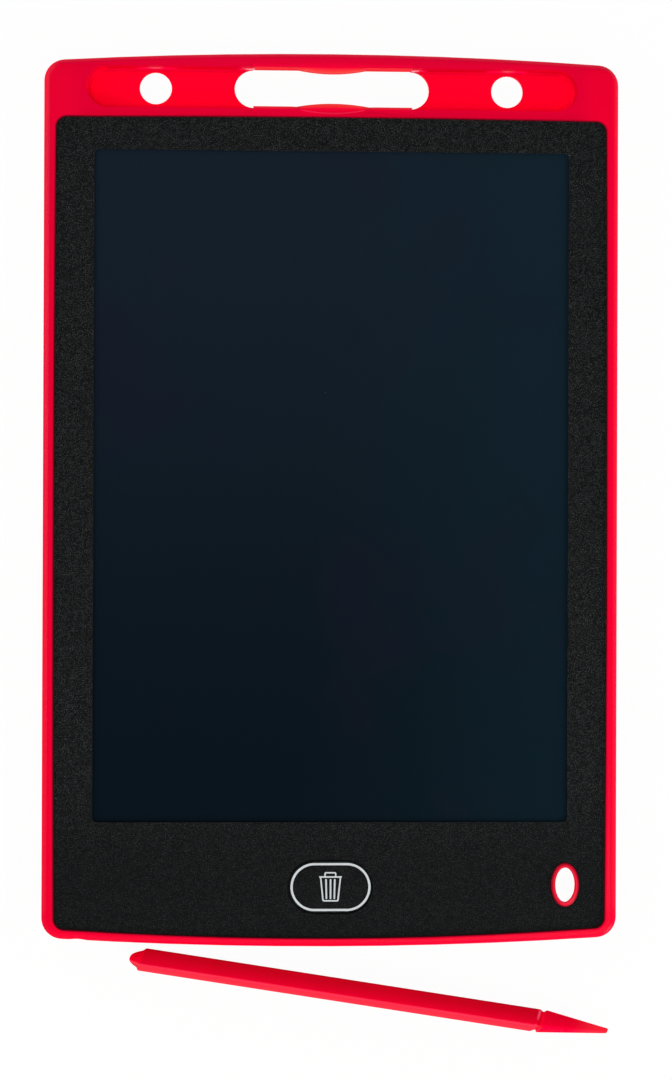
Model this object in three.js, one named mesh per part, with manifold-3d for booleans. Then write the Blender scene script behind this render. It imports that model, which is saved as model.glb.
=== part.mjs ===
import * as THREE from 'three';
import { mergeVertices } from 'three/addons/utils/BufferGeometryUtils.js';
import Module from 'manifold-3d';

// An LCD writing tablet of the 8.5 inch class with its loose stylus, in millimetres.
// The tablet lies on its back: X runs across it, Y towards the pen tray, Z up from the back face.

const wasm = await Module();
wasm.setup();

// Case
const case_width = 145;
const case_length = 225;
const case_thickness = 6.2;
const end_bow_radius = 1100;
const case_corner_radius = 5.3;
const front_edge_radius = 1.6;
const back_edge_radius = 1;
const parting_height = 2.2;
const side_wall = 1.6;
const back_skin = 1.3;
const ledge_skin = 1.2;
const bay_skin = 0.8;

// Gaps
const fit_gap = 0.3;
const slide_gap = 0.1;
const overlay_gap = 0.12;
const cut_overrun = 1;
const weld_distance = 0.001;

// Film over the front
const rim_above_overlay = 0.5;
const overlay_thickness = 0.3;
const overlay_tape = 0.2;
const overlay_side_margin = 2.8;
const overlay_end_margin = 2.2;
const overlay_upper_bow_radius = 5600;
const overlay_lower_bow_radius = 950;
const overlay_side_swell_height = 0.35;
const overlay_corner_radius = 2.6;
const overlay_to_tray = 7.31;
const tape_inset = 0.8;
const window_side_margin = 9.85;
const window_top_margin = 8.45;
const window_bottom_margin = 29.15;
const window_corner_radius = 1.3;

// Display laminate
const lcd_thickness = 0.6;
const lcd_overlap = 1.5;
const lcd_tape = 0.2;
const lcd_tape_inset = 3;
const lcd_plate = 1.2;

// Pen tray
const tray_to_end = 8.89;
const tray_length = 123.8;
const tray_width = 10.47;
const tray_wall = 1.2;
const tray_foot_radius = 1.4;
const tray_foot_lip = 0.25;
const tray_draft_angle = THREE.MathUtils.degToRad(3.2);
const tray_hole_spacing = 89.1;
const tray_hole_radius = 4.05;
const tray_hole_shift = 0.29;
const slot_length = 49.3;
const slot_width = 9.6;
const slot_shift = 0.37;
const slot_neck_length = 40;
const slot_neck_width = 9.79;
const slot_neck_shift = 0.25;
const slot_back_margin = 0.15;
const outer_bulge_length = 17.4;
const outer_bulge_height = 0.92;
const inner_bulge_length = 18.4;
const inner_bulge_height = 1.04;
const bulge_root = 0.9;
const scoop_reach = 0.93;
const scoop_angle = THREE.MathUtils.degToRad(35);

// Lanyard eyelet
const eyelet_side_margin = 10.3;
const eyelet_end_margin = 13.3;
const eyelet_outer_width = 7.3;
const eyelet_outer_length = 11;
const eyelet_inner_width = 4.9;
const eyelet_inner_length = 8.64;
const eyelet_rounding = 0.45;
const eyelet_flare = 0.35;
const eyelet_back_flare = 0.95;
const eyelet_foot_margin = 0.8;

// Pry notch in the lower edge
const notch_to_side = 8.8;
const notch_width = 4.6;
const notch_depth = 0.35;

// Ribs and snap hooks of the back shell
const rib_thickness = 1;
const rib_play = 0.2;
const cross_rib_pitch = 35;
const cross_rib_count = 5;
const cross_rib_length = 124;
const long_rib_spacing = 64;
const long_rib_length = 166;
const hook_pitch = 72;
const hook_rows = 3;
const hook_length = 6;
const hook_thickness = 0.8;
const hook_height = 3.7;
const hook_catch = 0.6;
const hook_catch_height = 0.5;
const hook_root = 0.4;

// Erase key
const key_end_margin = 12.85;
const key_travel = 0.3;
const key_pad_length = 21;
const key_pad_width = 13;
const plunger_margin = 1.6;
const plunger_foot_gap = 0.1;
const ear_length = 1.7;
const ear_width = 5.2;
const ear_thickness = 0.4;
const ear_root = 2;
const key_floor_gap = 0.2;
const switch_size = 5.2;
const switch_height = 0.8;
const switch_floor = 0.2;
const stem_radius = 1.4;
const stem_guide = 0.2;

// Circuit board
const board_thickness = 0.8;
const board_past_hinge = 4;
const board_right = 34;
const board_above_key = 10.4;
const board_below_key = 9.6;
const board_corner_radius = 1;
const bay_margin = 1.2;
const boss_radius = 2.2;
const screw_shank_radius = 0.7;
const screw_head_radius = 1.6;
const screw_head_thickness = 0.5;
const screw_inset = 3.5;
const second_screw_drop = 2.8;
const screw_tip_gap = 0.3;

// Parts on the board: size across, size along, height
const chip_size = { width: 4.9, depth: 3.9, height: 1 };
const inductor_size = { width: 4, depth: 4, height: 1 };
const capacitor_size = { width: 1.2, depth: 2, height: 0.8 };
const resistor_size = { width: 1.6, depth: 0.8, height: 0.5 };
const diode_size = { width: 2.6, depth: 1.4, height: 0.9 };
const chip_place = { x: 16.4, y: -4.2 };
const inductor_place = { x: 17.2, y: 3.2 };
const capacitor_place = { y: -7.6, pitch: 3.4, count: 3 };
const capacitor_inset = 4.6;
const resistor_place = { x: -6, y: 8.3, pitch: 4, count: 4 };
const diode_place = { x: 21.2, y: -6.6, pitch: 3, count: 2 };

// Battery compartment and its door
const cell_radius = 10;
const cell_height = 1.6;
const cell_cap_radius = 8.4;
const cell_cap_step = 0.15;
const cell_rim_radius = 0.3;
const cell_to_side = 38;
const cell_above_key = 0.95;
const cell_clearance = 0.4;
const cell_wall = 1.2;
const cell_roof = 0.5;
const contact_play = 0.3;
const door_width = 30;
const door_length = 24;
const door_thickness = 1.1;
const door_corner_radius = 2;
const hinge_past_cell = 12.5;
const door_ledge_gap = 0.1;
const door_ledge = 0.8;
const door_ledge_margin = 1.2;
const door_pad_size = 12;
const door_pad_thickness = 0.3;
const door_tab_length = 1.6;
const door_tab_width = 5;
const door_tab_thickness = 0.4;
const door_tab_spacing = 14;
const door_tab_root = 1;
const door_lip = 0.4;
const door_screw_inset = 3;
const door_screw_shank_radius = 0.75;
const door_screw_head_radius = 1.7;
const door_screw_head_depth = 0.6;
const door_screw_recess = 0.1;
const door_screw_length = 2.4;
const door_screw_swing = 0.45;
const door_boss_radius = 2.3;
const door_boss_roof = 0.4;
const driver_slot_length = 2;
const driver_slot_width = 0.5;
const driver_slot_depth = 0.3;

// Battery contacts
const contact_sheet = 0.3;
const contact_width = 4;
const contact_foot = 2.4;
const contact_rim_gap = 0.1;
const minus_reach = 7;
const plus_below_cell = 4.5;
const plus_width = 3;
const contact_slot_play = 0.3;

// Lead of the display
const tail_left = 12;
const tail_width = 8;
const tail_thickness = 0.3;
const tail_drop_gap = 1.1;
const tail_foot = 2;

// Lock switch
const lock_x = 28;
const lock_travel = 3;
const grip_length = 7.4;
const grip_width = 4.4;
const grip_recess = 0.2;
const grip_groove_width = 0.5;
const grip_groove_depth = 0.3;
const grip_groove_pitch = 1.3;
const grip_groove_count = 5;
const flange_thickness = 0.5;
const flange_margin = 3.8;
const flange_side = 1;
const lever_size = 1.5;
const lever_socket_floor = 0.8;
const lever_top_gap = 0.3;
const slide_body_length = 8.4;
const slide_body_width = 3.6;
const slide_body_height = 1.1;
const slide_body_roof = 0.3;
const guide_rib_thickness = 0.8;
const guide_rib_height = 0.6;

// Stylus, lying on one flank below the tablet
const stylus_length = 122.4;
const stylus_back_width = 8.2;
const stylus_thickness = 4.84;
const stylus_draft_angle = THREE.MathUtils.degToRad(18.9);
const stylus_edge_radius = 0.55;
const stylus_nub_length = 2.5;
const stylus_tip_length = 16.7;
const stylus_groove_length = 1.5;
const stylus_shoulder = 0.45;
const stylus_end_lean = 1.3;
const stylus_nub_share = 0.75;
const stylus_nub_end_share = 0.1;
const stylus_groove_share = 0.83;
const stylus_tip_share = 0.235;
const stylus_tip_end_share = 0.2;
const stylus_x = -50.3;
const stylus_below_case = 2.7;
const stylus_heading_angle = THREE.MathUtils.degToRad(-9);

// Steps of curved faces
const bow_steps = 10;
const corner_steps = 8;
const rounding_steps = 3;
const foot_steps = 3;
const nub_steps = 4;
const round_sides = 28;
const oval_sides = 48;
const small_sides = 14;
const scoop_sides = 72;
const bulge_steps = 10;
const edge_steps = 4;

// Heights of the stack, from the back face up
const overlay_top = case_thickness - rim_above_overlay;
const overlay_bottom = overlay_top - overlay_thickness;
const ledge_top = overlay_bottom - overlay_tape;
const lcd_bottom = ledge_top - lcd_thickness;
const plate_top = lcd_bottom - lcd_tape;
const plate_bottom = plate_top - lcd_plate;
const ledge_bottom = ledge_top - ledge_skin;
const bay_ceiling = ledge_top - bay_skin;

// Places on the front
const case_half = case_length / 2;
const tray_y = case_half - tray_to_end;
const tray_hole_y = tray_y + tray_hole_shift;
const slot_y = tray_y + slot_shift;
const slot_neck_y = tray_y + slot_neck_shift;
const overlay_half_width = case_width / 2 - overlay_side_margin;
const overlay_upper = tray_y - overlay_to_tray;
const overlay_lower = overlay_end_margin - case_half;
const window_half_width = overlay_half_width - window_side_margin;
const window_upper = overlay_upper - window_top_margin;
const window_lower = overlay_lower + window_bottom_margin;
const key_y = overlay_lower + key_end_margin;
const eyelet_x = overlay_half_width - eyelet_side_margin;
const eyelet_y = overlay_lower + eyelet_end_margin;
const cell_x = cell_to_side - case_width / 2;
const cell_y = key_y + cell_above_key;
const door_hinge_x = cell_x + hinge_past_cell;
const board_left = door_hinge_x + board_past_hinge;

// Heights in the battery compartment, and of the board whose contacts reach over the cell
const cell_bottom = door_thickness + door_pad_thickness;
const cell_top = cell_bottom + cell_height;
const board_top = cell_top;
const board_height = board_top - board_thickness;
const compartment_ceiling = cell_top + contact_sheet + contact_play;
const compartment_top = compartment_ceiling + cell_roof;
const door_ledge_bottom = door_thickness + door_ledge_gap;
const door_ledge_top = door_ledge_bottom + door_ledge;
const door_left = door_hinge_x - door_width;
const door_screw_x = door_left + door_screw_inset;
const door_screw_top = door_screw_recess + door_screw_head_depth + door_screw_length;

const red_plastic = { color: 0xe2082f, roughness: 0.3, metalness: 0 };
const black_film = { color: 0x1f2021, roughness: 0.6, metalness: 0 };
const dark_display = { color: 0x121c24, roughness: 0.2, metalness: 0 };
const clear_tape = { color: 0xcfd2cc, roughness: 0.6, metalness: 0 };
const board_green = { color: 0x1d5b34, roughness: 0.5, metalness: 0 };
const black_resin = { color: 0x17181a, roughness: 0.5, metalness: 0 };
const tan_ceramic = { color: 0x9c7d55, roughness: 0.6, metalness: 0 };
const plated_steel = { color: 0xb9bcc0, roughness: 0.3, metalness: 1 };
const amber_film = { color: 0xb06a24, roughness: 0.4, metalness: 0 };
const grey_foam = { color: 0x55585c, roughness: 0.9, metalness: 0 };
const white_plastic = { color: 0xe4e4e0, roughness: 0.5, metalness: 0 };

function solid(geometry) {
  const bare = geometry.clone();
  bare.deleteAttribute('normal');
  bare.deleteAttribute('uv');
  const merged = mergeVertices(bare, weld_distance / 4);
  const vertProperties = Float32Array.from(merged.attributes.position.array);
  const triVerts = Uint32Array.from(merged.index.array);
  return new wasm.Manifold(new wasm.Mesh({ numProp: 3, vertProperties, triVerts }));
}

function unite(solids) {
  return solids.reduce((sum, next) => sum.add(next));
}

function arc(x, y, radius, from, to, steps) {
  return new THREE.EllipseCurve(x, y, radius, radius, from, to, to < from).getPoints(steps);
}

// A closed outline through runs of points, without doubled points where the runs meet.
function outline(...runs) {
  const points = [];
  for (const point of runs.flat()) {
    const last = points.at(-1);
    if (!last || last.distanceTo(point) > weld_distance) {
      points.push(point);
    }
  }
  if (points[0].distanceTo(points.at(-1)) <= weld_distance) {
    points.pop();
  }
  return new THREE.Shape(points);
}

// Points of a side that swells by a small rise in its middle; way is 1 on the right.
function swollenSide(way, side, from, to, swell) {
  const middle = (from + to) / 2;
  const half = (to - from) / 2;
  const heights = Array.from({ length: bow_steps - 1 }, (_, index) => (2 * (index + 1)) / bow_steps - 1);
  return heights.map((share) => {
    const x = side + swell * (1 - share ** 2);
    return new THREE.Vector2(way * x, middle + half * share);
  });
}

// Straight or swollen sides, bowed ends and round corners that run into both.
function bowedOutline({ half_width, upper, lower, upper_bow, lower_bow, corner, swell = 0 }, inset = 0) {
  const side = half_width - swell - inset;
  const radius = corner - inset;
  const across = side - radius;
  const up_bow = upper_bow - inset;
  const low_bow = lower_bow - inset;
  const up_centre = upper - upper_bow;
  const low_centre = lower + lower_bow;
  const up_rise = Math.sqrt((up_bow - radius) ** 2 - across ** 2);
  const low_rise = Math.sqrt((low_bow - radius) ** 2 - across ** 2);
  const up_corner = up_centre + up_rise;
  const low_corner = low_centre - low_rise;
  const up_angle = Math.atan2(up_rise, across);
  const low_angle = Math.atan2(low_rise, across);
  const turn = Math.PI;
  return outline(
    arc(across, up_corner, radius, 0, up_angle, corner_steps),
    arc(0, up_centre, up_bow, up_angle, turn - up_angle, bow_steps),
    arc(-across, up_corner, radius, turn - up_angle, turn, corner_steps),
    swell ? swollenSide(-1, side, up_corner, low_corner, swell) : [],
    arc(-across, low_corner, radius, turn, turn + low_angle, corner_steps),
    arc(0, low_centre, low_bow, turn + low_angle, 2 * turn - low_angle, bow_steps),
    arc(across, low_corner, radius, 2 * turn - low_angle, 2 * turn, corner_steps),
    swell ? swollenSide(1, side, low_corner, up_corner, swell) : [],
  );
}

function caseOutline(inset) {
  const sizes = {
    half_width: case_width / 2,
    upper: case_half,
    lower: -case_half,
    upper_bow: end_bow_radius,
    lower_bow: end_bow_radius,
    corner: case_corner_radius,
  };
  return bowedOutline(sizes, inset);
}

function overlayOutline(inset) {
  const sizes = {
    half_width: overlay_half_width,
    upper: overlay_upper,
    lower: overlay_lower,
    upper_bow: overlay_upper_bow_radius,
    lower_bow: overlay_lower_bow_radius,
    corner: overlay_corner_radius,
    swell: overlay_side_swell_height,
  };
  return bowedOutline(sizes, inset);
}

function stadium(x, y, length, width) {
  const radius = width / 2;
  const reach = length / 2 - radius;
  const quarter = Math.PI / 2;
  return outline(
    arc(x + reach, y, radius, -quarter, quarter, round_sides / 2),
    arc(x - reach, y, radius, quarter, 3 * quarter, round_sides / 2),
  );
}

function oval(x, y, width, length) {
  const curve = new THREE.EllipseCurve(x, y, width / 2, length / 2, 0, 2 * Math.PI);
  return outline(curve.getPoints(oval_sides));
}

function roundedRectangle(left, right, lower, upper, radius) {
  const quarter = Math.PI / 2;
  return outline(
    arc(right - radius, upper - radius, radius, 0, quarter, edge_steps),
    arc(left + radius, upper - radius, radius, quarter, 2 * quarter, edge_steps),
    arc(left + radius, lower + radius, radius, 2 * quarter, 3 * quarter, edge_steps),
    arc(right - radius, lower + radius, radius, 3 * quarter, 4 * quarter, edge_steps),
  );
}

function prism(shape, low, high) {
  const geometry = new THREE.ExtrudeGeometry(shape, { depth: high - low, bevelEnabled: false });
  geometry.translate(0, 0, low);
  return solid(geometry);
}

// A prism whose edges at both ends are rounded inside its outline.
function roundedPrism(shape, low, high, radius) {
  const geometry = new THREE.ExtrudeGeometry(shape, {
    depth: high - low - 2 * radius,
    bevelEnabled: true,
    bevelThickness: radius,
    bevelSize: radius,
    bevelOffset: -radius,
    bevelSegments: rounding_steps,
  });
  geometry.translate(0, 0, low + radius);
  return solid(geometry);
}

// A convex solid through outlines at different heights, given as pairs of outline and height.
function loft(rings) {
  const points = rings.flatMap(([shape, height]) => shape.getPoints().map(({ x, y }) => [x, y, height]));
  return wasm.Manifold.hull(points);
}

// A profile drawn in X and Z, extruded along Y around a middle.
function profileAlongY(points, middle, length) {
  const shape = new THREE.Shape(points.map(([x, z]) => new THREE.Vector2(x, z)));
  const geometry = new THREE.ExtrudeGeometry(shape, { depth: length, bevelEnabled: false });
  geometry.rotateX(Math.PI / 2);
  geometry.translate(0, middle + length / 2, 0);
  return solid(geometry);
}

// A profile drawn in Y and Z, extruded along X from the left.
function profileAlongX(points, left, length) {
  const shape = new THREE.Shape(points.map(([y, z]) => new THREE.Vector2(y, z)));
  const geometry = new THREE.ExtrudeGeometry(shape, { depth: length, bevelEnabled: false });
  geometry.rotateX(Math.PI / 2);
  geometry.rotateZ(Math.PI / 2);
  geometry.translate(left, 0, 0);
  return solid(geometry);
}

function box(left, right, lower, upper, low, high) {
  const geometry = new THREE.BoxGeometry(right - left, upper - lower, high - low);
  geometry.translate((left + right) / 2, (lower + upper) / 2, (low + high) / 2);
  return solid(geometry);
}

function boxAt(x, y, width, depth, low, high) {
  return box(x - width / 2, x + width / 2, y - depth / 2, y + depth / 2, low, high);
}

function slab(low, high) {
  return boxAt(0, 0, 2 * case_width, 2 * case_length, low, high);
}

function drum(x, y, radius, low, high, sides = round_sides) {
  const geometry = new THREE.CylinderGeometry(radius, radius, high - low, sides);
  geometry.rotateX(Math.PI / 2);
  geometry.translate(x, y, (low + high) / 2);
  return solid(geometry);
}

// A turned solid: its profile runs from the axis to the axis, as pairs of radius and height.
function turned(x, y, profile, sides) {
  const points = profile.map(([radius, height]) => new THREE.Vector2(radius, height));
  const geometry = new THREE.LatheGeometry(points, sides);
  geometry.rotateX(Math.PI / 2);
  geometry.translate(x, y, 0);
  return solid(geometry);
}

const pieces = new THREE.Group();

function addPiece(name, body, material, parent = pieces) {
  const faceted = body.getMesh();
  const geometry = new THREE.BufferGeometry();
  geometry.setAttribute('position', new THREE.BufferAttribute(faceted.vertProperties, 3));
  geometry.setIndex(new THREE.BufferAttribute(faceted.triVerts, 1));
  geometry.computeVertexNormals();
  const mesh = new THREE.Mesh(geometry, new THREE.MeshStandardMaterial({ ...material, flatShading: true }));
  mesh.name = name;
  parent.add(mesh);
  return mesh;
}

// Shared cutters

function trayOutline(margin) {
  return stadium(0, tray_y, tray_length + 2 * margin, tray_width + 2 * margin);
}

function trayHoles(radius, low, high) {
  const reach = tray_hole_spacing / 2;
  return unite([-reach, reach].map((x) => drum(x, tray_hole_y, radius, low, high)));
}

function slotEnds(low, high) {
  return prism(stadium(0, slot_y, slot_length, slot_width), low, high);
}

function eyeletOutline(margin) {
  const width = eyelet_inner_width + 2 * margin;
  return oval(eyelet_x, eyelet_y, width, eyelet_inner_length + 2 * margin);
}

function pryNotch() {
  const half = notch_width / 2;
  const radius = (half ** 2 + notch_depth ** 2) / (2 * notch_depth);
  const x = notch_to_side - case_width / 2;
  const y = notch_depth - radius - bowEdge(x);
  return drum(x, y, radius, -cut_overrun, case_thickness + cut_overrun, scoop_sides);
}

function hookRows() {
  const first = -((hook_rows - 1) * hook_pitch) / 2;
  return Array.from({ length: hook_rows }, (unused, row) => first + row * hook_pitch);
}

const hook_outer = case_width / 2 - side_wall - fit_gap;
const catch_low = hook_height - 2 * hook_catch_height;

// Back shell

function snapHook(side, y) {
  const outer = side * hook_outer;
  const inner = outer - side * hook_thickness;
  const nose = outer + side * hook_catch;
  const profile = [
    [inner, back_skin - hook_root],
    [outer, back_skin - hook_root],
    [outer, catch_low],
    [nose, catch_low],
    [nose, catch_low + hook_catch_height / 2],
    [outer, hook_height],
    [inner, hook_height],
  ];
  return profileAlongY(profile, y, hook_length);
}

function ribs() {
  const top = plate_bottom - rib_play;
  const low = back_skin - hook_root;
  const middle = (window_upper + window_lower) / 2;
  const first = middle - ((cross_rib_count - 1) * cross_rib_pitch) / 2;
  const solids = [];
  for (let row = 0; row < cross_rib_count; row += 1) {
    solids.push(boxAt(0, first + row * cross_rib_pitch, cross_rib_length, rib_thickness, low, top));
  }
  for (const x of [-long_rib_spacing / 2, long_rib_spacing / 2]) {
    solids.push(boxAt(x, middle, rib_thickness, long_rib_length, low, top));
  }
  return unite(solids);
}

function doorOutline(margin) {
  const half = door_length / 2 + margin;
  const radius = door_corner_radius + margin;
  return roundedRectangle(door_left - margin, door_hinge_x + margin, cell_y - half, cell_y + half, radius);
}

function batteryCompartment() {
  const margin = fit_gap + door_ledge_margin;
  const half = door_length / 2 + margin;
  const right = door_hinge_x + door_tab_length + margin;
  const low = back_skin / 2;
  const ledge = box(door_left - margin, right, cell_y - half, cell_y + half, low, door_ledge_top);
  const well = drum(cell_x, cell_y, cell_radius + cell_clearance + cell_wall, low, compartment_top);
  const boss_top = door_screw_top + fit_gap + door_boss_roof;
  const boss = drum(door_screw_x, cell_y, door_boss_radius, low, boss_top, small_sides);
  return unite([ledge, well, boss]);
}

function doorTabRows() {
  return [-door_tab_spacing / 2, door_tab_spacing / 2].map((shift) => cell_y + shift);
}

function batteryCuts() {
  const recess = prism(doorOutline(fit_gap), -cut_overrun, door_ledge_bottom);
  const bore = drum(cell_x, cell_y, cell_radius + cell_clearance, 0, compartment_ceiling);
  const bore_radius = door_screw_shank_radius + door_screw_swing;
  const screw_bore = drum(door_screw_x, cell_y, bore_radius, 0, door_screw_top + fit_gap, small_sides);
  const swing_radius = Math.hypot(door_tab_length, door_thickness) + fit_gap;
  const pockets = doorTabRows().map((y) => box(
    door_hinge_x - door_thickness - fit_gap,
    door_hinge_x + door_tab_length + fit_gap,
    y - door_tab_width / 2 - fit_gap,
    y + door_tab_width / 2 + fit_gap,
    door_lip,
    swing_radius,
  ));
  const slot_right = board_left - fit_gap;
  const minus_half = contact_width / 2 + contact_slot_play;
  const minus_low = cell_top - contact_slot_play;
  const minus_slot = box(
    cell_x, slot_right, cell_y - minus_half, cell_y + minus_half, minus_low, compartment_ceiling,
  );
  const plus_half = plus_width / 2 + contact_slot_play;
  const plus_y = cell_y - plus_below_cell;
  const plus_slot = box(
    cell_x, slot_right, plus_y - plus_half, plus_y + plus_half, door_ledge_top, compartment_ceiling,
  );
  return unite([recess, bore, screw_bore, minus_slot, plus_slot, ...pockets]);
}

function lockWindow() {
  const length = grip_length + lock_travel + 2 * fit_gap;
  return boxAt(lock_x, key_y, length, grip_width + 2 * fit_gap, -cut_overrun, back_skin + cut_overrun);
}

function lockGuides() {
  const length = grip_length + 2 * flange_margin + lock_travel;
  const reach = grip_width / 2 + flange_side + fit_gap + guide_rib_thickness / 2;
  const low = back_skin / 2;
  const top = back_skin + guide_rib_height;
  const guides = [-reach, reach].map((shift) => boxAt(
    lock_x, key_y + shift, length, guide_rib_thickness, low, top,
  ));
  return unite(guides);
}

function backCover() {
  const blank = roundedPrism(caseOutline(0), 0, parting_height + 2 * back_edge_radius, back_edge_radius);
  const shell = blank.intersect(slab(0, parting_height));
  const hollow = prism(caseOutline(side_wall), back_skin, parting_height + cut_overrun);
  const hooks = hookRows().flatMap((y) => [snapHook(-1, y), snapHook(1, y)]);
  const inside = unite([ribs(), batteryCompartment(), lockGuides(), ...hooks]);
  const skin_cut = back_skin + cut_overrun;
  const neck_width = slot_neck_width + 2 * slot_back_margin;
  const neck = boxAt(0, slot_neck_y, slot_neck_length, neck_width, -cut_overrun, skin_cut);
  const slot = slotEnds(-cut_overrun, skin_cut).add(neck);
  const eyelet = prism(eyeletOutline(eyelet_back_flare), -cut_overrun, skin_cut);
  const tray_room = prism(trayOutline(tray_wall + fit_gap), back_skin, parting_height + cut_overrun);
  const holes = trayHoles(tray_hole_radius, -cut_overrun, skin_cut);
  const cuts = unite([slot, eyelet, holes, batteryCuts(), lockWindow(), pryNotch()]);
  return shell.subtract(hollow.add(tray_room)).add(inside).subtract(cuts);
}

// Front shell

function trayBlock() {
  const walls = prism(trayOutline(tray_wall), back_skin, case_thickness - front_edge_radius);
  const half = tray_length / 2 - tray_width;
  const inner_edge = bowEdge(half) - side_wall;
  const band = box(-half, half, tray_y, inner_edge + weld_distance, parting_height, ledge_top);
  return walls.add(band);
}

// Height of the case's bowed end at a distance from the middle.
function bowEdge(x) {
  return case_half - end_bow_radius + Math.sqrt(end_bow_radius ** 2 - x ** 2);
}

// The hollow of the tray: a rounded foot and walls that lean outwards by the draft.
function trough() {
  const low = back_skin - tray_foot_lip;
  const lean = Math.tan(tray_draft_angle);
  const wall_foot = -(case_thickness - low - tray_foot_radius) * lean;
  const rings = [[trayOutline(cut_overrun * lean), case_thickness + cut_overrun]];
  for (let step = 0; step <= foot_steps; step += 1) {
    const angle = (step * Math.PI) / 2 / foot_steps;
    const margin = wall_foot - tray_foot_radius * (1 - Math.cos(angle));
    rings.push([trayOutline(margin), low + tray_foot_radius * (1 - Math.sin(angle))]);
  }
  return loft(rings);
}

// Tray and slot; along its neck the slot has its own upright walls up to the front.
function trayCut() {
  const below = back_skin - cut_overrun;
  const above = case_thickness + 2 * cut_overrun;
  const hollow = trough().add(slotEnds(below, ledge_top));
  const neck = boxAt(0, slot_neck_y, slot_neck_length, 2 * tray_width, below - cut_overrun, above);
  const middle = boxAt(0, slot_neck_y, slot_neck_length, slot_neck_width, below, above);
  return hollow.subtract(neck).add(middle);
}

// One snap bulge, a segment of a circle that stands on the neck's wall; way is 1 on the outer wall.
function bulge(way, length, height, top) {
  const half = length / 2;
  const radius = (half ** 2 + height ** 2) / (2 * height);
  const wall_y = slot_neck_y + (way * slot_neck_width) / 2;
  const centre = wall_y + way * (radius - height);
  const spread = Math.asin(half / radius);
  const middle = -way * (Math.PI / 2);
  const face = arc(0, centre, radius, middle - spread, middle + spread, bulge_steps);
  const root = wall_y + way * bulge_root;
  const corners = [
    new THREE.Vector2(way * half, root),
    new THREE.Vector2(-way * half, root),
  ];
  return prism(outline(face, corners), back_skin, top);
}

// A shallow cone that dishes the top of a bulge and the band behind it, so that the stylus slides in.
function scoop(way) {
  const half = inner_bulge_length / 2;
  const radius = (half ** 2 + scoop_reach ** 2) / (2 * scoop_reach);
  const wall_y = tray_y + (way * tray_width) / 2;
  const centre = wall_y + way * (scoop_reach - radius);
  const slope = Math.tan(scoop_angle);
  const depth = radius * slope;
  const raised = case_thickness + cut_overrun;
  const profile = [
    [0, case_thickness - depth],
    [radius + cut_overrun / slope, raised],
    [0, raised],
  ];
  const cone = turned(0, centre, profile, scoop_sides);
  const edge = wall_y + way * (scoop_reach + cut_overrun);
  const reach = box(
    -half - cut_overrun, half + cut_overrun, Math.min(tray_y, edge), Math.max(tray_y, edge),
    case_thickness / 2, raised + cut_overrun,
  );
  return cone.intersect(reach);
}

function eyeletRing() {
  const shape = oval(eyelet_x, eyelet_y, eyelet_outer_width, eyelet_outer_length);
  const blank = roundedPrism(shape, back_skin - 2 * eyelet_rounding, case_thickness, eyelet_rounding);
  const foot_width = eyelet_outer_width + 2 * eyelet_foot_margin;
  const foot_length = eyelet_outer_length + 2 * eyelet_foot_margin;
  const foot = prism(oval(eyelet_x, eyelet_y, foot_width, foot_length), back_skin, ledge_top);
  return blank.intersect(slab(back_skin, case_thickness + cut_overrun)).add(foot);
}

// The eyelet's bore is tightest just under its rim, and opens towards both faces.
function eyeletBore() {
  const tight = eyeletOutline(0);
  const bore = prism(tight, -cut_overrun, case_thickness + cut_overrun);
  const flared = eyeletOutline(eyelet_flare);
  const rim = loft([[tight, case_thickness - eyelet_flare], [flared, case_thickness + eyelet_flare]]);
  const back = loft([[eyeletOutline(eyelet_back_flare), -cut_overrun], [tight, ledge_top]]);
  return unite([bore, rim, back]);
}

function boardScrewPlaces() {
  return [
    { x: board_left + screw_inset, y: key_y + board_above_key - screw_inset },
    { x: board_right - screw_inset, y: key_y + board_above_key - second_screw_drop },
  ];
}

function bayCut() {
  const lower = side_wall + fit_gap - bowEdge(door_left);
  const left = door_left - door_ledge_margin - fit_gap;
  const upper = lcd_lower - fit_gap - lcd_plate;
  const bay = box(left, board_right + bay_margin, lower, upper, ledge_bottom - cut_overrun, bay_ceiling);
  const plunger = stadium(0, key_y, plunger_length + 2 * fit_gap, plunger_width + 2 * fit_gap);
  const pad = stadium(0, key_y, key_pad_length + 2 * fit_gap, key_pad_width + 2 * fit_gap);
  const key_hole = prism(plunger, ledge_bottom - cut_overrun, ledge_top + cut_overrun);
  const key_dish = prism(pad, overlay_bottom - key_travel - key_floor_gap, ledge_top + cut_overrun);
  return unite([bay, key_hole, key_dish]);
}

function boardBosses() {
  const root = ledge_top - bay_skin / 2;
  return unite(boardScrewPlaces().map(({ x, y }) => drum(x, y, boss_radius, board_top, root, small_sides)));
}

function boardBossBores() {
  const radius = screw_shank_radius + fit_gap;
  const low = board_top - cut_overrun;
  return unite(boardScrewPlaces().map(({ x, y }) => drum(x, y, radius, low, bay_ceiling, small_sides)));
}

function snapRecesses() {
  const wall_face = case_width / 2 - side_wall;
  const depth = hook_catch;
  const low = catch_low - fit_gap / 2;
  const recesses = hookRows().flatMap((y) => [-1, 1].map((side) => boxAt(
    side * (wall_face + depth / 2 - cut_overrun / 2),
    y,
    depth + cut_overrun,
    hook_length + 2 * fit_gap,
    low,
    hook_height + fit_gap,
  )));
  return unite(recesses);
}

const lcd_left = -window_half_width - lcd_overlap;
const lcd_lower = window_lower - lcd_overlap;
const lcd_upper = window_upper + lcd_overlap;

function lcdRectangle(margin) {
  const half = -lcd_left + margin;
  const radius = window_corner_radius + margin;
  return roundedRectangle(-half, half, lcd_lower - margin, lcd_upper + margin, radius);
}

function lcdAdhesive() {
  const half = -lcd_left - lcd_tape_inset;
  const lower = lcd_lower + lcd_tape_inset;
  const upper = lcd_upper - lcd_tape_inset;
  return prism(roundedRectangle(-half, half, lower, upper, window_corner_radius), plate_top, lcd_bottom);
}

const tail_right = tail_left + tail_width;
const tail_drop = lcd_lower - tail_drop_gap;

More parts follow.
